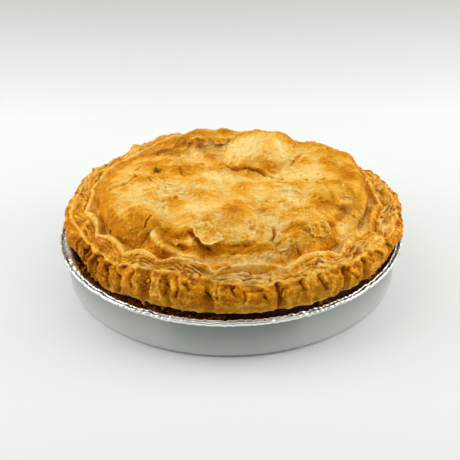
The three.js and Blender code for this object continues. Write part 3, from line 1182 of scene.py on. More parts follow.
    def build(self, material: bpy.types.Material) -> bpy.types.Object:
        """Builds the lid: a fine grid mapped to a disc, with a skirt and a floor hidden in the edge.

        Args:
            material: The pastry.

        Returns:
            The lid's object.
        """
        bm = bmesh.new()
        bmesh.ops.create_grid(bm, x_segments=self.steps, y_segments=self.steps, size=1)
        rim = [e for e in bm.edges if e.is_boundary]
        skirt = bmesh.ops.extrude_edge_only(bm, edges=rim)["geom"]
        low = [v for v in skirt if isinstance(v, bmesh.types.BMVert)]
        bmesh.ops.translate(bm, verts=low, vec=(0, 0, -1))
        bmesh.ops.edgeloop_fill(bm, edges=[e for e in skirt if isinstance(e, bmesh.types.BMEdge) and e.is_boundary])
        bmesh.ops.recalc_face_normals(bm, faces=bm.faces)
        piece = finished(bm, "lid_crust", material)
        log.info("lid_crust: spreading %d points", (self.steps + 1) ** 2)
        px, py = self.spread(*self.plan())
        base = self.surface(px, py)
        normals = surface_normals(base, closed=False)
        normals *= np.sign(normals[..., 2:])
        move, tones = self.relief(base, normals)
        # The grid's edge stays on the foot, where the crimped edge meets it.
        inner = rise(1 - np.hypot(px, py), 0, 0.02)
        shaped = base + normals * (move * inner)[..., None]
        shaped[..., 0] += PIE_SHIFT
        self.shaped = shaped
        rough = vertex_array(piece.data)
        column = np.rint((rough[:, 0] + 1) / 2 * self.steps).astype(int)
        row = np.rint((rough[:, 1] + 1) / 2 * self.steps).astype(int)
        points = shaped[row, column]
        points[rough[:, 2] < -0.5, 2] -= self.skirt_depth
        place_vertices(piece.data, points)
        paint(piece.data, **{name: values[row, column] for name, values in tones.items()})
        settle(piece, Node.PIE)
        return piece


@dataclass(frozen=True)
class Peel:
    """A place on the edge's outer wall where the top skin has come off: its angle, and its oval in mm."""

    angle: float
    height: float
    half_width: float
    half_height: float


@dataclass
class CrimpedEdge:
    """The crimped edge: pillows outside, cut layers on top, and the crest that the lid rises from."""

    form: EdgeForm
    columns: int = 1020
    under_steps: int = 6
    wall_steps: int = 34
    top_steps: int = 38
    inner_steps: int = 8
    hidden_steps: int = 6
    layer_count: float = 4.0
    layer_rise: float = 1.5
    sheet_height: float = 0.5
    brow_height: float = 3.0
    torn_depth: float = 1.5
    tuck_angle: float = 338
    tuck_half_width: float = 27
    tuck_depth: float = 3.2
    puff_height: float = 2.4
    fold_height: float = 0.8
    knob_height: float = 1.9
    wart_height: float = 0.6
    crease_depth: float = 1.3
    crease_lip: float = 0.8
    finger_depth: float = 2.6
    slit_depth: float = 1.5
    slit_lip: float = 0.7
    wall_radius: float = 108
    finger_gaps: tuple = (203.5, 206.6, 210.2, 213.4, 217.2, 220.5, 225)
    blisters: tuple = ((238, 4), (246, 4), (256, 3), (268, 5), (300, 3), (20, 8), (75, 9), (130, 8), (170, 6))
    peels: tuple = (Peel(275, 39, 9, 3), Peel(243, 42, 5, 3), Peel(322, 40, 7, 2.5), Peel(60, 39, 9, 3),
                    Peel(110, 40, 10, 3.5), Peel(150, 39, 8, 3))
    slits: tuple = (
        ((250.3, 53), (250.7, 50), (252.5, 46), (251.8, 41)), ((252.7, 49), (254.7, 48), (256.1, 46)),
        ((260.5, 48), (262, 44), (263.3, 40)), ((264, 48), (264.6, 42)), ((283.8, 49), (283.5, 45), (284.7, 36)),
        ((285.8, 47), (284.7, 42), (286.1, 36)), ((272.6, 46), (275.4, 46), (278.6, 46), (280.7, 45)),
        ((272.6, 46), (273.4, 44), (272.5, 40)), ((278.5, 45), (279.8, 41)),
        ((270.5, 49), (269.2, 47), (270.4, 44)), ((247.9, 48), (250.2, 45), (249.1, 41)),
        ((226.3, 48), (228.6, 46), (231.7, 43), (232.6, 48)), ((223.2, 48), (224.4, 44), (227.6, 40), (229.3, 36)),
        ((217.4, 46), (219, 42), (222.8, 40), (225.4, 38)), ((232.7, 51), (235.6, 49), (235.3, 45), (236.9, 41)),
        ((240.4, 49), (242.3, 47), (241.1, 40)), ((293.2, 52), (291.3, 48), (292.3, 43)),
        ((299.8, 52), (297.3, 49), (298.7, 44)), ((310, 49), (309, 46), (311, 42), (313, 38)),
        ((318.7, 50), (316.1, 48), (317.2, 45)), ((322, 50), (325, 45), (324, 40)),
        ((334, 49), (331, 46), (333, 41)), ((346, 48), (343, 43), (345, 38)), ((208, 46), (211, 43), (214, 38)),
        ((12, 47), (15, 43), (13, 38)), ((38, 46), (35, 42), (37, 37)), ((66, 49), (70, 45), (69, 38)),
        ((92, 49), (90, 44), (94, 38)), ((121, 50), (125, 45), (123, 39)), ((152, 50), (149, 45), (151, 38)),
        ((178, 49), (181, 44), (180, 39)),
    )
    shaped: np.ndarray | None = None

    def stations(self) -> np.ndarray:
        """The place of each row of the closed section.

        Returns:
            For each row its place, as a number of key points from the first.
        """
        steps = (self.under_steps, self.wall_steps, self.top_steps, self.inner_steps, self.hidden_steps)
        runs = zip((4, 5, 8, 9, 10), (5, 8, 9, 10, 12), steps)
        return np.concatenate([np.linspace(start, end, count, endpoint=False) for start, end, count in runs])

    def smooth_form(self, angle: np.ndarray) -> np.ndarray:
        """The edge before its relief.

        Args:
            angle: The columns' angles in degrees.

        Returns:
            Points in mm, of shape (rows, columns, 3).
        """
        radii, heights = self.form.section(angle)
        # Two more points inside the pie close the section, which then comes back to the point where it starts.
        radii = np.vstack([radii, radii[10] - 5, radii[4] - 10, radii[4]])
        heights = np.vstack([heights, heights[10] - 5, heights[4] + 2, heights[4]])
        at = self.stations()
        low = np.floor(at).astype(int)
        part = (at - low)[:, None]
        r, z = (softened(a[low] * (1 - part) + a[low + 1] * part, 3, 0, closed=True) for a in (radii, heights))
        return from_polar(r, np.radians(angle)[None, :], z)

    def relief(self, base: np.ndarray, angle: np.ndarray) -> tuple[np.ndarray, dict]:
        """What the crimping and baking did to the smooth edge.

        Args:
            base: The smooth edge's points.
            angle: The columns' angles in degrees.

        Returns:
            How far each point moves along its normal, in mm, and the tones painted there.
        """
        at, around = np.meshgrid(self.stations(), angle, indexing="ij")
        height, turn, lobe = base[..., 2], np.radians(around), self.form.lobe(around)
        broad, wave, fine = grain(base, 18, 31), grain(base, 6, 32), grain(base, 2.0, 33)
        on_wall, on_layers = plateau(at, 4.9, 5.3, 7.7, 8.0), plateau(at, 8.08, 8.2, 8.68, 8.8)
        # The cut layers are sheets stacked like steps: each falls inward to the foot of the next one's edge.
        stretched = base * [1, 1, 2.5]
        drift = 1.6 * grain(stretched, 34, 34, 2) + 0.9 * grain(stretched, 11, 35) + 0.12 * fine
        phase = (at - 8) * self.layer_count + drift
        part = phase - np.floor(phase)
        strength = rise(grain(stretched, 12, 36), -0.3, 0.35)
        step = self.layer_rise * (0.5 - part) - 0.3 * plateau(part, 0.66, 0.84, 0.93, 1.0)
        finer = phase * 2.6 + 0.7 * wave
        sheets = np.abs(2 * (finer - np.floor(finer)) - 1)
        move = on_layers * ((0.25 + strength) * step + 0.28 * (sheets - 0.5))
        # The groove tone is strongest at each layer's foot, under the next edge: painted shade there.
        groove = 0.1 + 0.22 * rise(wave, -0.3, 0.3) + 0.5 * strength * rise(part, 0.3, 0.8) - 0.22 * sheets
        groove = on_layers * np.clip(groove, 0, 1)
        # Thin sheets within each layer, long round the edge and under a millimetre thick. At the right they run on
        # over the crest and down to the lid.
        sheet = grain(from_polar(13, turn, 14 * (at - 8) + 0.9 * wave), 1.0, 43, 2)
        right = bump_at(around, 352, 52) * plateau(at, 8.65, 8.8, 9.6, 10)
        laminate = on_layers + 0.35 * plateau(at, 7.2, 7.9, 8.0, 8.1) + right
        move += self.sheet_height * laminate * sheet + 2.4 * on_layers * grain(base, 9, 46)
        move += right * (0.6 * sheet + 1.2 * grain(base, 6, 48, 2))
        # The crest is a smooth fold with a gutter at its outer foot, and the shoulder a ragged lip over a brow.
        crest, gutter, shoulder, brow, lip = (
            hump(at - middle, reach)
            for middle, reach in ((8.92, 0.16), (8.72, 0.07), (8.02, 0.15), (7.9, 0.55), (5.0, 0.5))
        )
        upright = from_polar(self.wall_radius, turn, 0.22 * height)
        lift = 3.0 * bump_at(around, 273, 24) - 2.4 * bump_at(around, 263, 3.5)
        move += (1.0 + 0.6 * wave + lift) * crest - 0.7 * gutter + shoulder * (0.4 + 1.6 * grain(upright, 6, 39))
        move += self.brow_height * brow * grain(upright * [1, 1, 0], 13, 42, 2)
        # In places the brow tore off and bares the layers.
        torn_brow = rise(grain(upright * [1, 1, 0.4], 8, 44), 0.06, 0.16) * hump(at - 7.8, 0.5)
        # At the right the wall's foot is tucked in, which bares the gap.
        tucked = bump_at(around, self.tuck_angle, self.tuck_half_width) * hump(at - 5.2, 1.5)
        move -= self.torn_depth * torn_brow + self.tuck_depth * tucked
        # The wall puffs out between presses, is creased at the pleats and is knobbly all over.
        puff = (lobe - 0.6) * np.sin(math.pi * np.clip((at - 5) / 3, 0, 1))
        lean = 0.12 * (height - 40) * np.sin(3 * turn + 1)
        line, lips = self.form.crease(around, 0.9 * wave + lean)
        folds, knobs, warts = (
            np.abs(grain(points, size, seed, 2)) - MEAN_RIDGE
            for points, size, seed in ((upright, 4.5, 37), (base, 8, 38), (base, 3.6, 40))
        )
        move += on_wall * (self.puff_height * puff + self.fold_height * (1.5 - lobe) * folds)
        move += on_wall * (self.knob_height * knobs + self.wart_height * warts - bump_at(around, 354, 24))
        move += on_wall * (self.crease_lip * lips - self.crease_depth * line)
        # At the left the folds stand apart like fingers.
        finger = on_wall * highest_bump(around, tuple((gap, 1.0) for gap in self.finger_gaps), lean + 0.4 * wave)
        move -= self.finger_depth * finger * rise(grain(upright, 16, 47, 2), -0.35, 0.3)
        rough = on_wall * rise(at, 5.6, 6.4) * highest_bump(around, self.blisters, 1.5 * wave)
        move += 1.1 * (lip * grain(upright, 5, 41) + rough * np.abs(fine))
        peeled, torn = np.zeros(at.shape), np.zeros(at.shape)
        for peel in self.peels:
            sideways = np.radians(turn_between(around, peel.angle)) * self.wall_radius / peel.half_width
            away = np.hypot(sideways, (height - peel.height) / peel.half_height) + 0.7 * wave + 0.3 * fine
            peeled = np.maximum(peeled, rise(1 - away, 0, 0.15))
            torn = np.maximum(torn, hump(away - 1.12, 0.16))
        move += on_wall * (0.45 * torn - 0.5 * peeled)
        flakes = terrace(broad * 3 + wave * 1.4 + height / 3.2)
        grit = grain(base, 1.8, 45, 1)
        move += (0.35 * wave + 0.3 * fine + 0.45 * flakes + 0.14 * grit) * rise(at, 4.6, 5.2)
        upper = rise(height, 34, 44)
        bake = 0.38 + 0.14 * wave - 0.12 * flakes
        bake += on_wall * (0.18 - 0.05 * upper + 0.17 * bump_at(around, 212, 30) + 0.06 * bump_at(around, 318, 25))
        bake += on_wall * (0.1 * upper * rise(wave + 0.6 * broad, 0.0, 0.35) + 0.25 * knobs)
        bake = np.minimum(bake - 0.12 * on_wall * rise(-0.15 - warts, 0, 0.08), 0.72)
        bake += 0.2 * rough * rise(fine, -0.3, 0.4) - on_wall * (0.12 * peeled - 0.1 * torn)
        # Slits and folds that the crimping left in the wall.
        unrolled = np.stack([self.wall_radius * turn, height], -1) + 0.5 * np.stack([wave, fine], -1)
        for slit in self.slits:
            path = tuple((math.radians(a) * self.wall_radius, up) for a, up in slit)
            away, along = distance_to_path(unrolled, path)
            ends = on_wall * np.minimum(1, 6 * np.minimum(along, 1 - along) + 0.2)
            move += ends * (self.slit_lip * hump(away - 2.0, 1.5) - self.slit_depth * hump(away, 0.85))
            # Each slit is painted darker inside, as shade, and paler beside it, as a highlight.
            bake += ends * (0.2 * hump(away, 1.0) - 0.08 * hump(away - 2.0, 1.2))
        # Creases and the gaps between the fingers are painted darker, as shade; the thin sheets vary in tone.
        bake += 0.16 * on_wall * line + 0.2 * finger + 0.24 * laminate * sheet
        # The crest and, in patches, the shoulder are painted paler, as highlights, and the gutter at the crest's
        # foot darker, as shade; the sheets at the right are browner.
        bake += 0.1 * (gutter + right) - 0.15 * crest - 0.16 * shoulder * rise(wave, -0.2, 0.2)
        # The layers are painted darker at the left, where less light falls, and paler in front, where the top light
        # falls most.
        bake += on_layers * (0.18 * bump_at(around, 208, 64) - 0.2 * bump_at(around, 272, 26))
        # The underside is painted darker, as the shade under the edge, and each layer's edge paler, as a painted
        # highlight; the lower lip is paler crust.
        bake += 0.3 * (1 - rise(at, 4.3, 4.8)) - 0.12 * (lip + on_layers * (1 - rise(part, 0.1, 0.4)))
        # The crest's inner side stayed creamy in front; at the left the valley behind it is painted purple-brown, as
        # shadow.
        cream = rise(at, 9.15, 9.6) * rise(76 - np.abs(turn_between(around, 299)), 0, 25)
        moist = 0.2 * lip + 0.18 * on_wall * (1 - upper) * rise(wave, -0.4, 0.4) + 0.4 * cream
        left_valley_shadow = bump_at(around, 207, 16) * rise(at, 9.0, 9.5)
        groove = np.maximum(groove, np.maximum(0.55 * torn_brow * rise(sheet, -0.1, 0.3), 0.8 * left_valley_shadow))
        scorch = 0.12 * rough * rise(fine, 0.0, 0.5)
        tones = (np.clip(layer, 0, 1) for layer in (bake - 0.3 * cream, groove, scorch, moist))
        return move, dict(zip(PASTRY_LAYERS, tones))

    def build(self, material: bpy.types.Material) -> bpy.types.Object:
        """Builds the edge: a rolled ring, each of whose vertices is moved to its place in the section.

        Args:
            material: The pastry.

        Returns:
            The edge's object.
        """
        piece, column, row = rolled_piece("crimped_edge", material, self.columns, len(self.stations()), closed=True)
        angle = np.arange(self.columns) * 360 / self.columns
        base = self.smooth_form(angle)
        normals = surface_normals(base, closed=True)
        centre = base.mean(axis=0, keepdims=True)
        normals *= np.sign(np.sum(normals * (base - centre), -1).mean())
        move, tones = self.relief(base, angle)
        shaped = base + normals * move[..., None]
        shaped[..., 0] += PIE_SHIFT
        self.shaped = shaped
        place_vertices(piece.data, shaped[row, column])
        paint(piece.data, **{name: values[row, column] for name, values in tones.items()})
        settle(piece, Node.PIE)
        return piece


@dataclass(frozen=True)
class Flake:
    """A flake of crust that came loose: its middle, half-sizes, turn, rise per mm toward +X and +Y, and curl."""

    x: float
    y: float
    z: float
    along: float
    across: float
    turn: float
    slope_x: float
    slope_y: float
    curl: float
    bake: float


@dataclass
class LooseFlakes:
    """Flakes of the top crust that came loose as it rose: a few large curled ones and a scatter of small ones."""

    large: tuple = (
        Flake(-16.5, -70.0, 64.8, 9.2, 6.4, -55, 0.03, 0.4, 2.4, 0.34),
        Flake(51.8, -63.4, 63.2, 6.2, 4.9, 30, -0.6, 1.0, 0.8, 0.46),
        Flake(66.8, -17.0, 68.4, 2.8, 1.5, -30, 0.0, 0.0, 0.6, 0.1),
        Flake(26.5, -69.5, 60.5, 2.8, 1.6, 70, 0.0, 0.7, 0.5, 0.3),
        Flake(29.0, -75.5, 57.6, 3.0, 1.5, 10, 0.0, 0.6, 0.5, 0.34),
        Flake(-7.0, 44.0, 70.6, 4.0, 2.6, 20, 0.0, 0.1, 0.6, 0.55),
    )
    large_steps: int = 30
    small_steps: int = 4
    lid_count: int = 60
    edge_count: int = 150
    crumb_count: int = 260
    crumbs_from: float = 203
    crumbs_to: float = 268
    thickness: float = 0.5
    seed: int = 23

    def add_flake(
        self, bm: bmesh.types.BMesh, middle: Vector, normal: Vector, flake: Flake, steps: int, number: int
    ) -> None:
        """Adds one flake as a ragged, crumpled sheet.

        Args:
            bm: The mesh that it joins.
            middle: Its middle in mm.
            normal: The direction that its upper side faces.
            flake: Its sizes, turn, curl and tone.
            steps: How many faces it has each way.
            number: A number that sets its raggedness.
        """
        turn = math.radians(flake.turn)
        heading = Vector((math.cos(turn), math.sin(turn), 0))
        u = (heading - normal * heading.dot(normal)).normalized()
        v = normal.cross(u)
        bake = bm.verts.layers.float["bake"]
        for vert in bmesh.ops.create_grid(bm, x_segments=steps, y_segments=steps, size=1)["verts"]:
            a, b = vert.co.x, vert.co.y
            reach = max(abs(a), abs(b))
            rounding = reach / max((abs(a) ** 3 + abs(b) ** 3) ** (1 / 3), 1e-6)
            way = Vector((a, b, 0)).normalized() * 1.3 + Vector((number * 7.1, number * -3.3, number))
            ragged = 1 + 0.4 * noise.fractal(way, 1.0, 2.0, 5)
            a, b = a * rounding * ragged * flake.along, b * rounding * ragged * flake.across
            here = Vector((a, b, number * 11.0))
            crumple = 0.9 * noise.fractal(here / 2.4, 1.0, 2.0, 4)
            lift = flake.curl * reach**3 * (0.6 + noise.noise(way * 0.8)) + crumple * min(1, flake.along / 3)
            vert.co = middle + u * a + v * b + normal * lift
            vert[bake] = flake.bake + 0.3 * crumple - 0.8 * max(0, reach - 0.8)

    def scatter(
        self, bm: bmesh.types.BMesh, shaped: np.ndarray, closed: bool, rows: slice, count: int, bake: float
    ) -> None:
        """Scatters small flakes over a grid of points.

        Args:
            bm: The mesh that they join.
            shaped: The points of the crust, in mm.
            closed: Whether the grid runs all the way round.
            rows: The rows that they may lie on.
            count: How many there are.
            bake: The tone of the palest one.
        """
        draw = random.Random(self.seed + count)
        normals = surface_normals(softened(shaped, 3, 0), closed)
        middle = shaped.reshape(-1, 3).mean(0)
        normals *= np.sign(np.sum(normals * (shaped - middle), -1).mean())
        allowed = range(*rows.indices(shaped.shape[0]))
        for i in range(count):
            row, column = draw.choice(allowed), draw.randrange(shaped.shape[1])
            normal = Vector(normals[row, column])
            tilt = Vector([draw.uniform(-0.3, 0.3) for _ in range(3)])
            normal = (normal + tilt).normalized()
            size = draw.uniform(0.6, 1.0) ** 2 * 2.0
            flake = Flake(0, 0, 0, size, size * draw.uniform(0.4, 0.8), draw.uniform(0, 360), 0, 0,
                          draw.uniform(0.1, 0.5), bake + draw.uniform(0, 0.25))
            place = Vector(shaped[row, column]) + normal * 0.15
            self.add_flake(bm, place, normal, flake, self.small_steps, i)

    def drop_crumbs(self, bm: bmesh.types.BMesh) -> None:
        """Drops crumbs in the gap between the edge and the tin, where the juice holds them.

        Args:
            bm: The mesh that they join.
        """
        draw = random.Random(self.seed)
        for i in range(self.crumb_count):
            turn = math.radians(draw.uniform(self.crumbs_from, self.crumbs_to))
            r, up = draw.uniform(102.5, 106.3), draw.uniform(25.6, 27.6)
            place = Vector((r * math.cos(turn), r * math.sin(turn), up))
            normal = Vector((draw.uniform(-0.8, 0.8), draw.uniform(-0.8, 0.8), 1)).normalized()
            size = draw.uniform(0.6, 1.4)
            crumb = Flake(0, 0, 0, size, size * 0.7, draw.uniform(0, 360), 0, 0, 0.3, draw.uniform(0.85, 1.1))
            self.add_flake(bm, place, normal, crumb, self.small_steps, i)

    def build(self, material: bpy.types.Material, lid: np.ndarray, edge: np.ndarray) -> bpy.types.Object:
        """Builds all the flakes as one piece of thin shells.

        Args:
            material: The pastry.
            lid: The lid's points.
            edge: The edge's points.

        Returns:
            The flakes' object.
        """
        bm = bmesh.new()
        for name in PASTRY_LAYERS:
            bm.verts.layers.float.new(name)
        for i, flake in enumerate(self.large):
            normal = Vector((-flake.slope_x, -flake.slope_y, 1)).normalized()
            middle = Vector((flake.x + PIE_SHIFT, flake.y, flake.z))
            self.add_flake(bm, middle, normal, flake, self.large_steps, i + 1)
        self.scatter(bm, lid, False, slice(12, -12), self.lid_count, 0.34)
        self.scatter(bm, edge, True, slice(14, 78), self.edge_count, 0.5)
        self.drop_crumbs(bm)
        bmesh.ops.recalc_face_normals(bm, faces=bm.faces)
        bmesh.ops.solidify(bm, geom=bm.faces[:], thickness=self.thickness)
        bmesh.ops.scale(bm, verts=bm.verts, vec=(MM, MM, MM))
        piece = finished(bm, "loose_flakes", material)
        settle(piece)
        return piece


@dataclass
class BottomCrust:
    """The crust that lines the tin, which shows as a dark band in the gap under the edge."""

    form: EdgeForm
    columns: int = 720
    rises: tuple = (0.8, 3.8, 10, 16, 20, 22, 23, 24, 25, 26, 27, 28, 29, 30, 31, 32)
    pale_bits: tuple = ((239, 3.0), (246, 2.5), (255, 4.5), (300, 6), (325, 7), (345, 8))
    gap_from: float = 20
    widest: float = 107.0
    bare_angle: float = 190
    bare_half_width: float = 16
    bare_depth: float = 3.5

    def build(self, material: bpy.types.Material) -> bpy.types.Object:
        """Builds the crust in the tin as a rolled drum with a rough side.

        Args:
            material: The pastry, whose painted tones make it dark with juice and with the shade of the gap.

        Returns:
            The crust's object.
        """
        rows = len(self.rises) + 1
        piece, column, row = rolled_piece("bottom_crust", material, self.columns, rows, closed=False)
        angle = column * 360 / self.columns
        turn = np.radians(angle)
        z = np.array([self.rises[0], *self.rises, self.rises[-1]])[row]
        radii, _ = self.form.section(angle)
        keys_z = [k.z for k in self.form.keys[:5]]
        r = sum(np.interp(z, keys_z, share) * radius for share, radius in zip(np.eye(5), radii))
        points = from_polar(r, turn, z)
        wave, fine, lumps = grain(points, 7, 51), grain(points, 2.2, 52), np.abs(grain(points, 3.6, 53))
        uneven = lumps - MEAN_RIDGE
        bits = highest_bump(angle, self.pale_bits, wave) * rise(z, 22, 24) * rise(fine + 0.5 * wave, -0.3, 0.2)
        bare = bump_at(angle, self.bare_angle, self.bare_half_width) * rise(z, 10, 20)
        r = r - 0.9 + rise(z, self.gap_from, 24) * (0.5 * wave + 2.0 * (lumps + bits)) - self.bare_depth * bare
        r = np.minimum(np.where((row > 0) & (row < rows), r, 0), self.widest)
        points = from_polar(r, turn, z)
        points[:, 0] += PIE_SHIFT * rise(z, 16, 22) * rise(self.widest + 0.5 - r, 0, 2)
        left = rise(32 - np.abs(turn_between(angle, 215)), 0, 12)
        # Near-black: juice-stained crust, and painted shade in the gap under the edge.
        bake = 0.94 - 0.5 * bits - 0.3 * uneven + 0.02 * left * rise(wave, -0.3, 0.4)
        scorch = 0.7 - 0.05 * left - 0.6 * bits + 0.3 * wave - 0.6 * uneven
        place_vertices(piece.data, points)
        none = np.zeros(len(r))
        paint(piece.data, bake=np.clip(bake, 0, 1), groove=none, scorch=np.clip(scorch, 0, 1), moist=none)
        settle(piece, Node.PIE)
        return piece


@dataclass
class JuiceSeam:
    """The boiled-over juice that baked on between the crust and the tin: lumpy, dark, and thickest at the left."""

    columns: int = 900
    rows: int = 14
    radius: float = 105.7
    widest: float = 107.3
    height: float = 25.2
    thick_from: float = 207
    thick_to: float = 264
    bare_angle: float = 194
    bare_half_width: float = 14

    def build(self, material: bpy.types.Material) -> bpy.types.Object:
        """Builds the seam as a lumpy ring.

        Args:
            material: The baked juice.

        Returns:
            The seam's object.
        """
        piece, column, row = rolled_piece("baked_juice_seam", material, self.columns, self.rows, closed=True)
        angle, part = column * 360 / self.columns, row * 2 * math.pi / self.rows
        turn = np.radians(angle)
        middle, reach = (self.thick_from + self.thick_to) / 2, (self.thick_to - self.thick_from) / 2
        thick = rise(reach + 8 - np.abs(turn_between(angle, middle)), 0, 16)
        around = from_polar(106, turn, 1.2 * np.cos(part))
        wave, lumps = grain(around, 8, 71, 2), np.abs(grain(around, 3.2, 72))
        bare = bump_at(angle, self.bare_angle, self.bare_half_width)
        size = np.clip(0.55 + 0.75 * thick + 0.5 * wave + 1.5 * lumps, 0.4, 2.0) * (1 - 0.85 * bare)
        r = np.minimum(self.radius + 0.9 * size * np.cos(part), self.widest)
        z = self.height - 1.5 * (1 - thick) + size * np.sin(part)
        place_vertices(piece.data, from_polar(r, turn, z))
        settle(piece)
        return piece


@dataclass
class FoilTin:
    """The tin: a pressed foil tray with a smooth sloping wall, a gathered flange and a rolled rim."""

    base_radius: float = 106.6
    foil: float = 0.5
    base_corner: float = 3
    columns: int = 1080
    flange_start: float = 108.2
    fold_radius: float = 109.9
    crinkle: float = 0.7
    bent_angle: float = 197
    bent_half_width: float = 20
    bent_inward: float = 4.5
    bent_rows: tuple = (34, 37.5, 42, 46)

    def section(self) -> list[tuple[float, float]]:
        """The tin's closed section from the axis under the floor, round the rim and back to the axis.

        Returns:
            Its (radius, height) points in mm.
        """
        corner = [
            (self.base_radius - self.base_corner * (1 - math.sin(a)), self.base_corner * (1 - math.cos(a)))
            for a in (i * math.pi / 12 for i in range(7))
        ]
        slope = self.flange_start - self.base_radius
        wall = [
            (self.base_radius + slope * t, self.base_corner + (TIN_DEPTH - 4.2) * t)
            for t in (0.1, 0.25, 0.4, 0.55, 0.7, 0.8, 0.88, 0.95)
        ]
        rim = [
            (108.3, 26.2), (108.7, 25.6), (109.3, 25.3), (110.0, 25.1), (110.7, 25.2), (111.4, 25.7),
            (111.8, 26.4), (111.9, 27.1), (111.7, 27.8), (111.2, 28.2), (110.7, 28.1), (110.3, 27.6),
            (110.1, 26.9), (109.9, 26.5), (109.7, 26.6), (109.5, 27.2), (109.3, 27.9), (108.9, 28.3),
            (108.4, 28.2), (108.0, 27.6), (107.8, 26.8),
        ]
        outer = [(0.0, 0.0), (50.0, 0.0), (90.0, 0.0), *corner, *wall]
        inner = [(r - self.foil, z) for r, z in reversed(wall)]
        inner += [(r - self.foil * 0.7, z + self.foil) for r, z in reversed(corner)]
        return [*outer, *rim, *inner, (90.0, self.foil), (50.0, self.foil), (0.0, self.foil)]

    def build(self, material: bpy.types.Material) -> bpy.types.Object:
        """Builds the tin by rolling its section round, then crinkles the rim.

        Args:
            material: The foil.

        Returns:
            The tin's object.
        """
        section = np.array(self.section())
        piece, column, row = rolled_piece("foil_tin_shell", material, self.columns, len(section) - 1, closed=False)
        turn = column * 2 * math.pi / self.columns
        r, z = section[row].T
        points = from_polar(r, turn, z)
        on_rim = rise(z, 25.2, 26.4) * rise(r, 107.4, 108.2)
        # At the far left the flange was bent in and covers the gap beside the crust.
        bent = bump_at(np.degrees(turn), self.bent_angle, self.bent_half_width)
        first, full, last, end = self.bent_rows
        r = r - self.bent_inward * bent * np.clip((row - first) / (full - first), 0, 1) * (1 - rise(row, last, end))
        around = from_polar(110, turn, 0.35 * (z + r))
        gathers = grain(around, 3.2, 61, 2) + 0.8 * grain(around, 1.4, 62, 1)
        gathers *= np.maximum(0.95, 1 + 0.8 * grain(around, 17, 65, 1))
        drift = grain(around, 12, 63, 2)
        dents = grain(points * [1, 1, 0.4], 45, 64, 2)
        z = z + on_rim * (self.crinkle * gathers + 0.25 * drift)
        inward = 0.8 * self.crinkle * np.abs(np.roll(gathers, 3))
        r = r - on_rim * inward + 0.25 * dents * rise(z, 4, 12) * (1 - on_rim)
        # Dashes in the fold between the flange and the roll: juice that baked on there, darkened as painted shade in
        # the fold.
        stain = on_rim * hump(section[row, 0] - self.fold_radius, 1.1) * rise(gathers + 0.6 * drift, -0.05, 0.2)
        place_vertices(piece.data, from_polar(r, turn, np.maximum(z, 0)))
        paint(piece.data, rim=on_rim, stain=0.85 * stain)
        settle(piece, Node.TIN)
        return piece


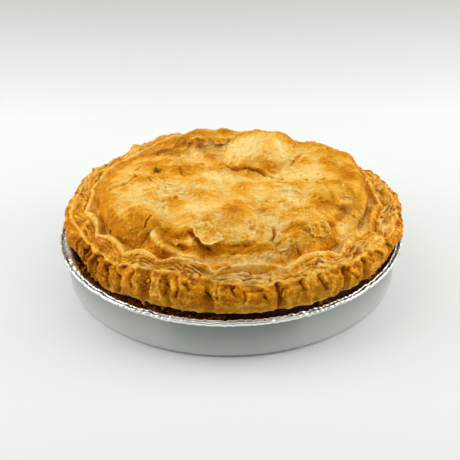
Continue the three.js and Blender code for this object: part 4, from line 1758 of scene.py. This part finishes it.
@dataclass
class Studio:
    """Seamless paper, soft overhead light and the camera."""

    floor_half_width: float = 2.4
    floor_front: float = 1.6
    sweep_start: float = 0.9
    sweep_radius: float = 0.5
    sweep_top: float = 2.2
    camera_back: float = 0.7432
    camera_height: float = 0.4499
    pitch: float = 29.62
    yaw: float = -0.05
    roll: float = -0.89
    lens: float = 101.74
    overhead_watts: float = 16
    side_watts: float = 9.4
    room_strength: float = 0.48

    def build_paper(self, material: bpy.types.Material) -> bpy.types.Object:
        """Builds the paper: a floor that sweeps up behind the pie.

        Args:
            material: The paper's finish.

        Returns:
            The paper's object.
        """
        bm = bmesh.new()
        start = self.sweep_start
        path = [(-self.floor_front, 0.0), (start, 0.0)]
        for i in range(1, 17):
            a = i / 16 * math.pi / 2
            path.append((start + self.sweep_radius * math.sin(a), self.sweep_radius * (1 - math.cos(a))))
        path.append((start + self.sweep_radius, self.sweep_top))
        line = [bm.verts.new((-self.floor_half_width, y, z)) for y, z in path]
        edges = [bm.edges.new(pair) for pair in zip(line, line[1:])]
        made = bmesh.ops.extrude_edge_only(bm, edges=edges)["geom"]
        far = [v for v in made if isinstance(v, bmesh.types.BMVert)]
        bmesh.ops.translate(bm, verts=far, vec=(2 * self.floor_half_width, 0, 0))
        bmesh.ops.recalc_face_normals(bm, faces=bm.faces)
        paper = finished(bm, "background_paper", material)
        return paper

    def add_light(self, name: str, place: Vector, aim: Vector, size: tuple[float, float], watts: float) -> None:
        """Adds a rectangular soft light.

        Args:
            name: The light's name.
            place: Where it hangs, in metres.
            aim: The point it faces.
            size: Its width and height in metres.
            watts: Its power.
        """
        lamp = bpy.data.lights.new(name, "AREA")
        lamp.shape = "RECTANGLE"
        lamp.size, lamp.size_y = size
        lamp.energy = watts
        made = bpy.data.objects.new(name, lamp)
        made.location = place
        made.rotation_euler = (aim - place).to_track_quat("-Z", "Y").to_euler()
        bpy.context.scene.collection.objects.link(made)

    def build_light(self) -> None:
        """Hangs the soft lights and sets the room's own light."""
        middle = Vector((0, 0, 0))
        self.add_light("overhead_softbox", Vector((0.0, 0.2, 1.25)), middle, (2.6, 1.7), self.overhead_watts)
        for name, x in (("left_softbox", -1.1), ("right_softbox", 1.1)):
            self.add_light(name, Vector((x, 0.0, 0.36)), Vector((0, 0, 0.02)), (1.0, 0.7), self.side_watts)
        world = bpy.data.worlds.new("studio_room")
        world.use_nodes = True
        backing = world.node_tree.nodes["Background"]
        # The room is unlit on the viewer's side.
        toward = add_node(world.node_tree, "ShaderNodeTexCoord").outputs["Generated"]
        parts = add_node(world.node_tree, "ShaderNodeSeparateXYZ", {0: toward})
        lit = add_node(world.node_tree, "ShaderNodeMapRange", {0: parts.outputs["Y"], 1: -0.95, 2: -0.2})
        tone = add_node(
            world.node_tree, "ShaderNodeValToRGB", {"Fac": lit.outputs[0]}, ((0.0, "#6C6D6A"), (1.0, "#FDFDFC"))
        )
        world.node_tree.links.new(tone.outputs["Color"], backing.inputs["Color"])
        backing.inputs["Strength"].default_value = self.room_strength
        bpy.context.scene.world = world

    def build_camera(self) -> None:
        """Places the camera at the picture's angle and sets how light turns to picture."""
        lens = bpy.data.cameras.new("picture_camera")
        lens.lens, lens.sensor_width = self.lens, 36
        lens.clip_start, lens.clip_end = 0.05, 20
        camera = bpy.data.objects.new("picture_camera", lens)
        pitch, yaw, roll = (math.radians(a) for a in (self.pitch, self.yaw, self.roll))
        ahead = Vector((math.sin(yaw) * math.cos(pitch), math.cos(yaw) * math.cos(pitch), -math.sin(pitch)))
        level = ahead.cross(Vector((0, 0, 1))).normalized()
        upright = level.cross(ahead)
        right = level * math.cos(roll) + upright * math.sin(roll)
        up = upright * math.cos(roll) - level * math.sin(roll)
        turn = Matrix((right, up, -ahead)).transposed()
        camera.matrix_world = Matrix.Translation((0, -self.camera_back, self.camera_height)) @ turn.to_4x4()
        bpy.context.scene.collection.objects.link(camera)
        bpy.context.scene.camera = camera
        bpy.context.scene.view_settings.view_transform = "Standard"


def main() -> None:
    """Builds the studio, the tin and the pie."""
    studio = Studio()
    studio.build_paper(StudioPaper().material())
    studio.build_light()
    studio.build_camera()
    FoilTin().build(PressedFoil().material())
    pastry = BakedPastry().material()
    edge = EdgeForm()
    lid, crimp = LidCrust(LidForm(), edge), CrimpedEdge(edge)
    lid.build(pastry)
    crimp.build(pastry)
    LooseFlakes().build(pastry, lid.shaped, crimp.shaped)
    BottomCrust(edge).build(pastry)
    JuiceSeam().build(BakedJuice().material())


if __name__ == "__main__":
    main()
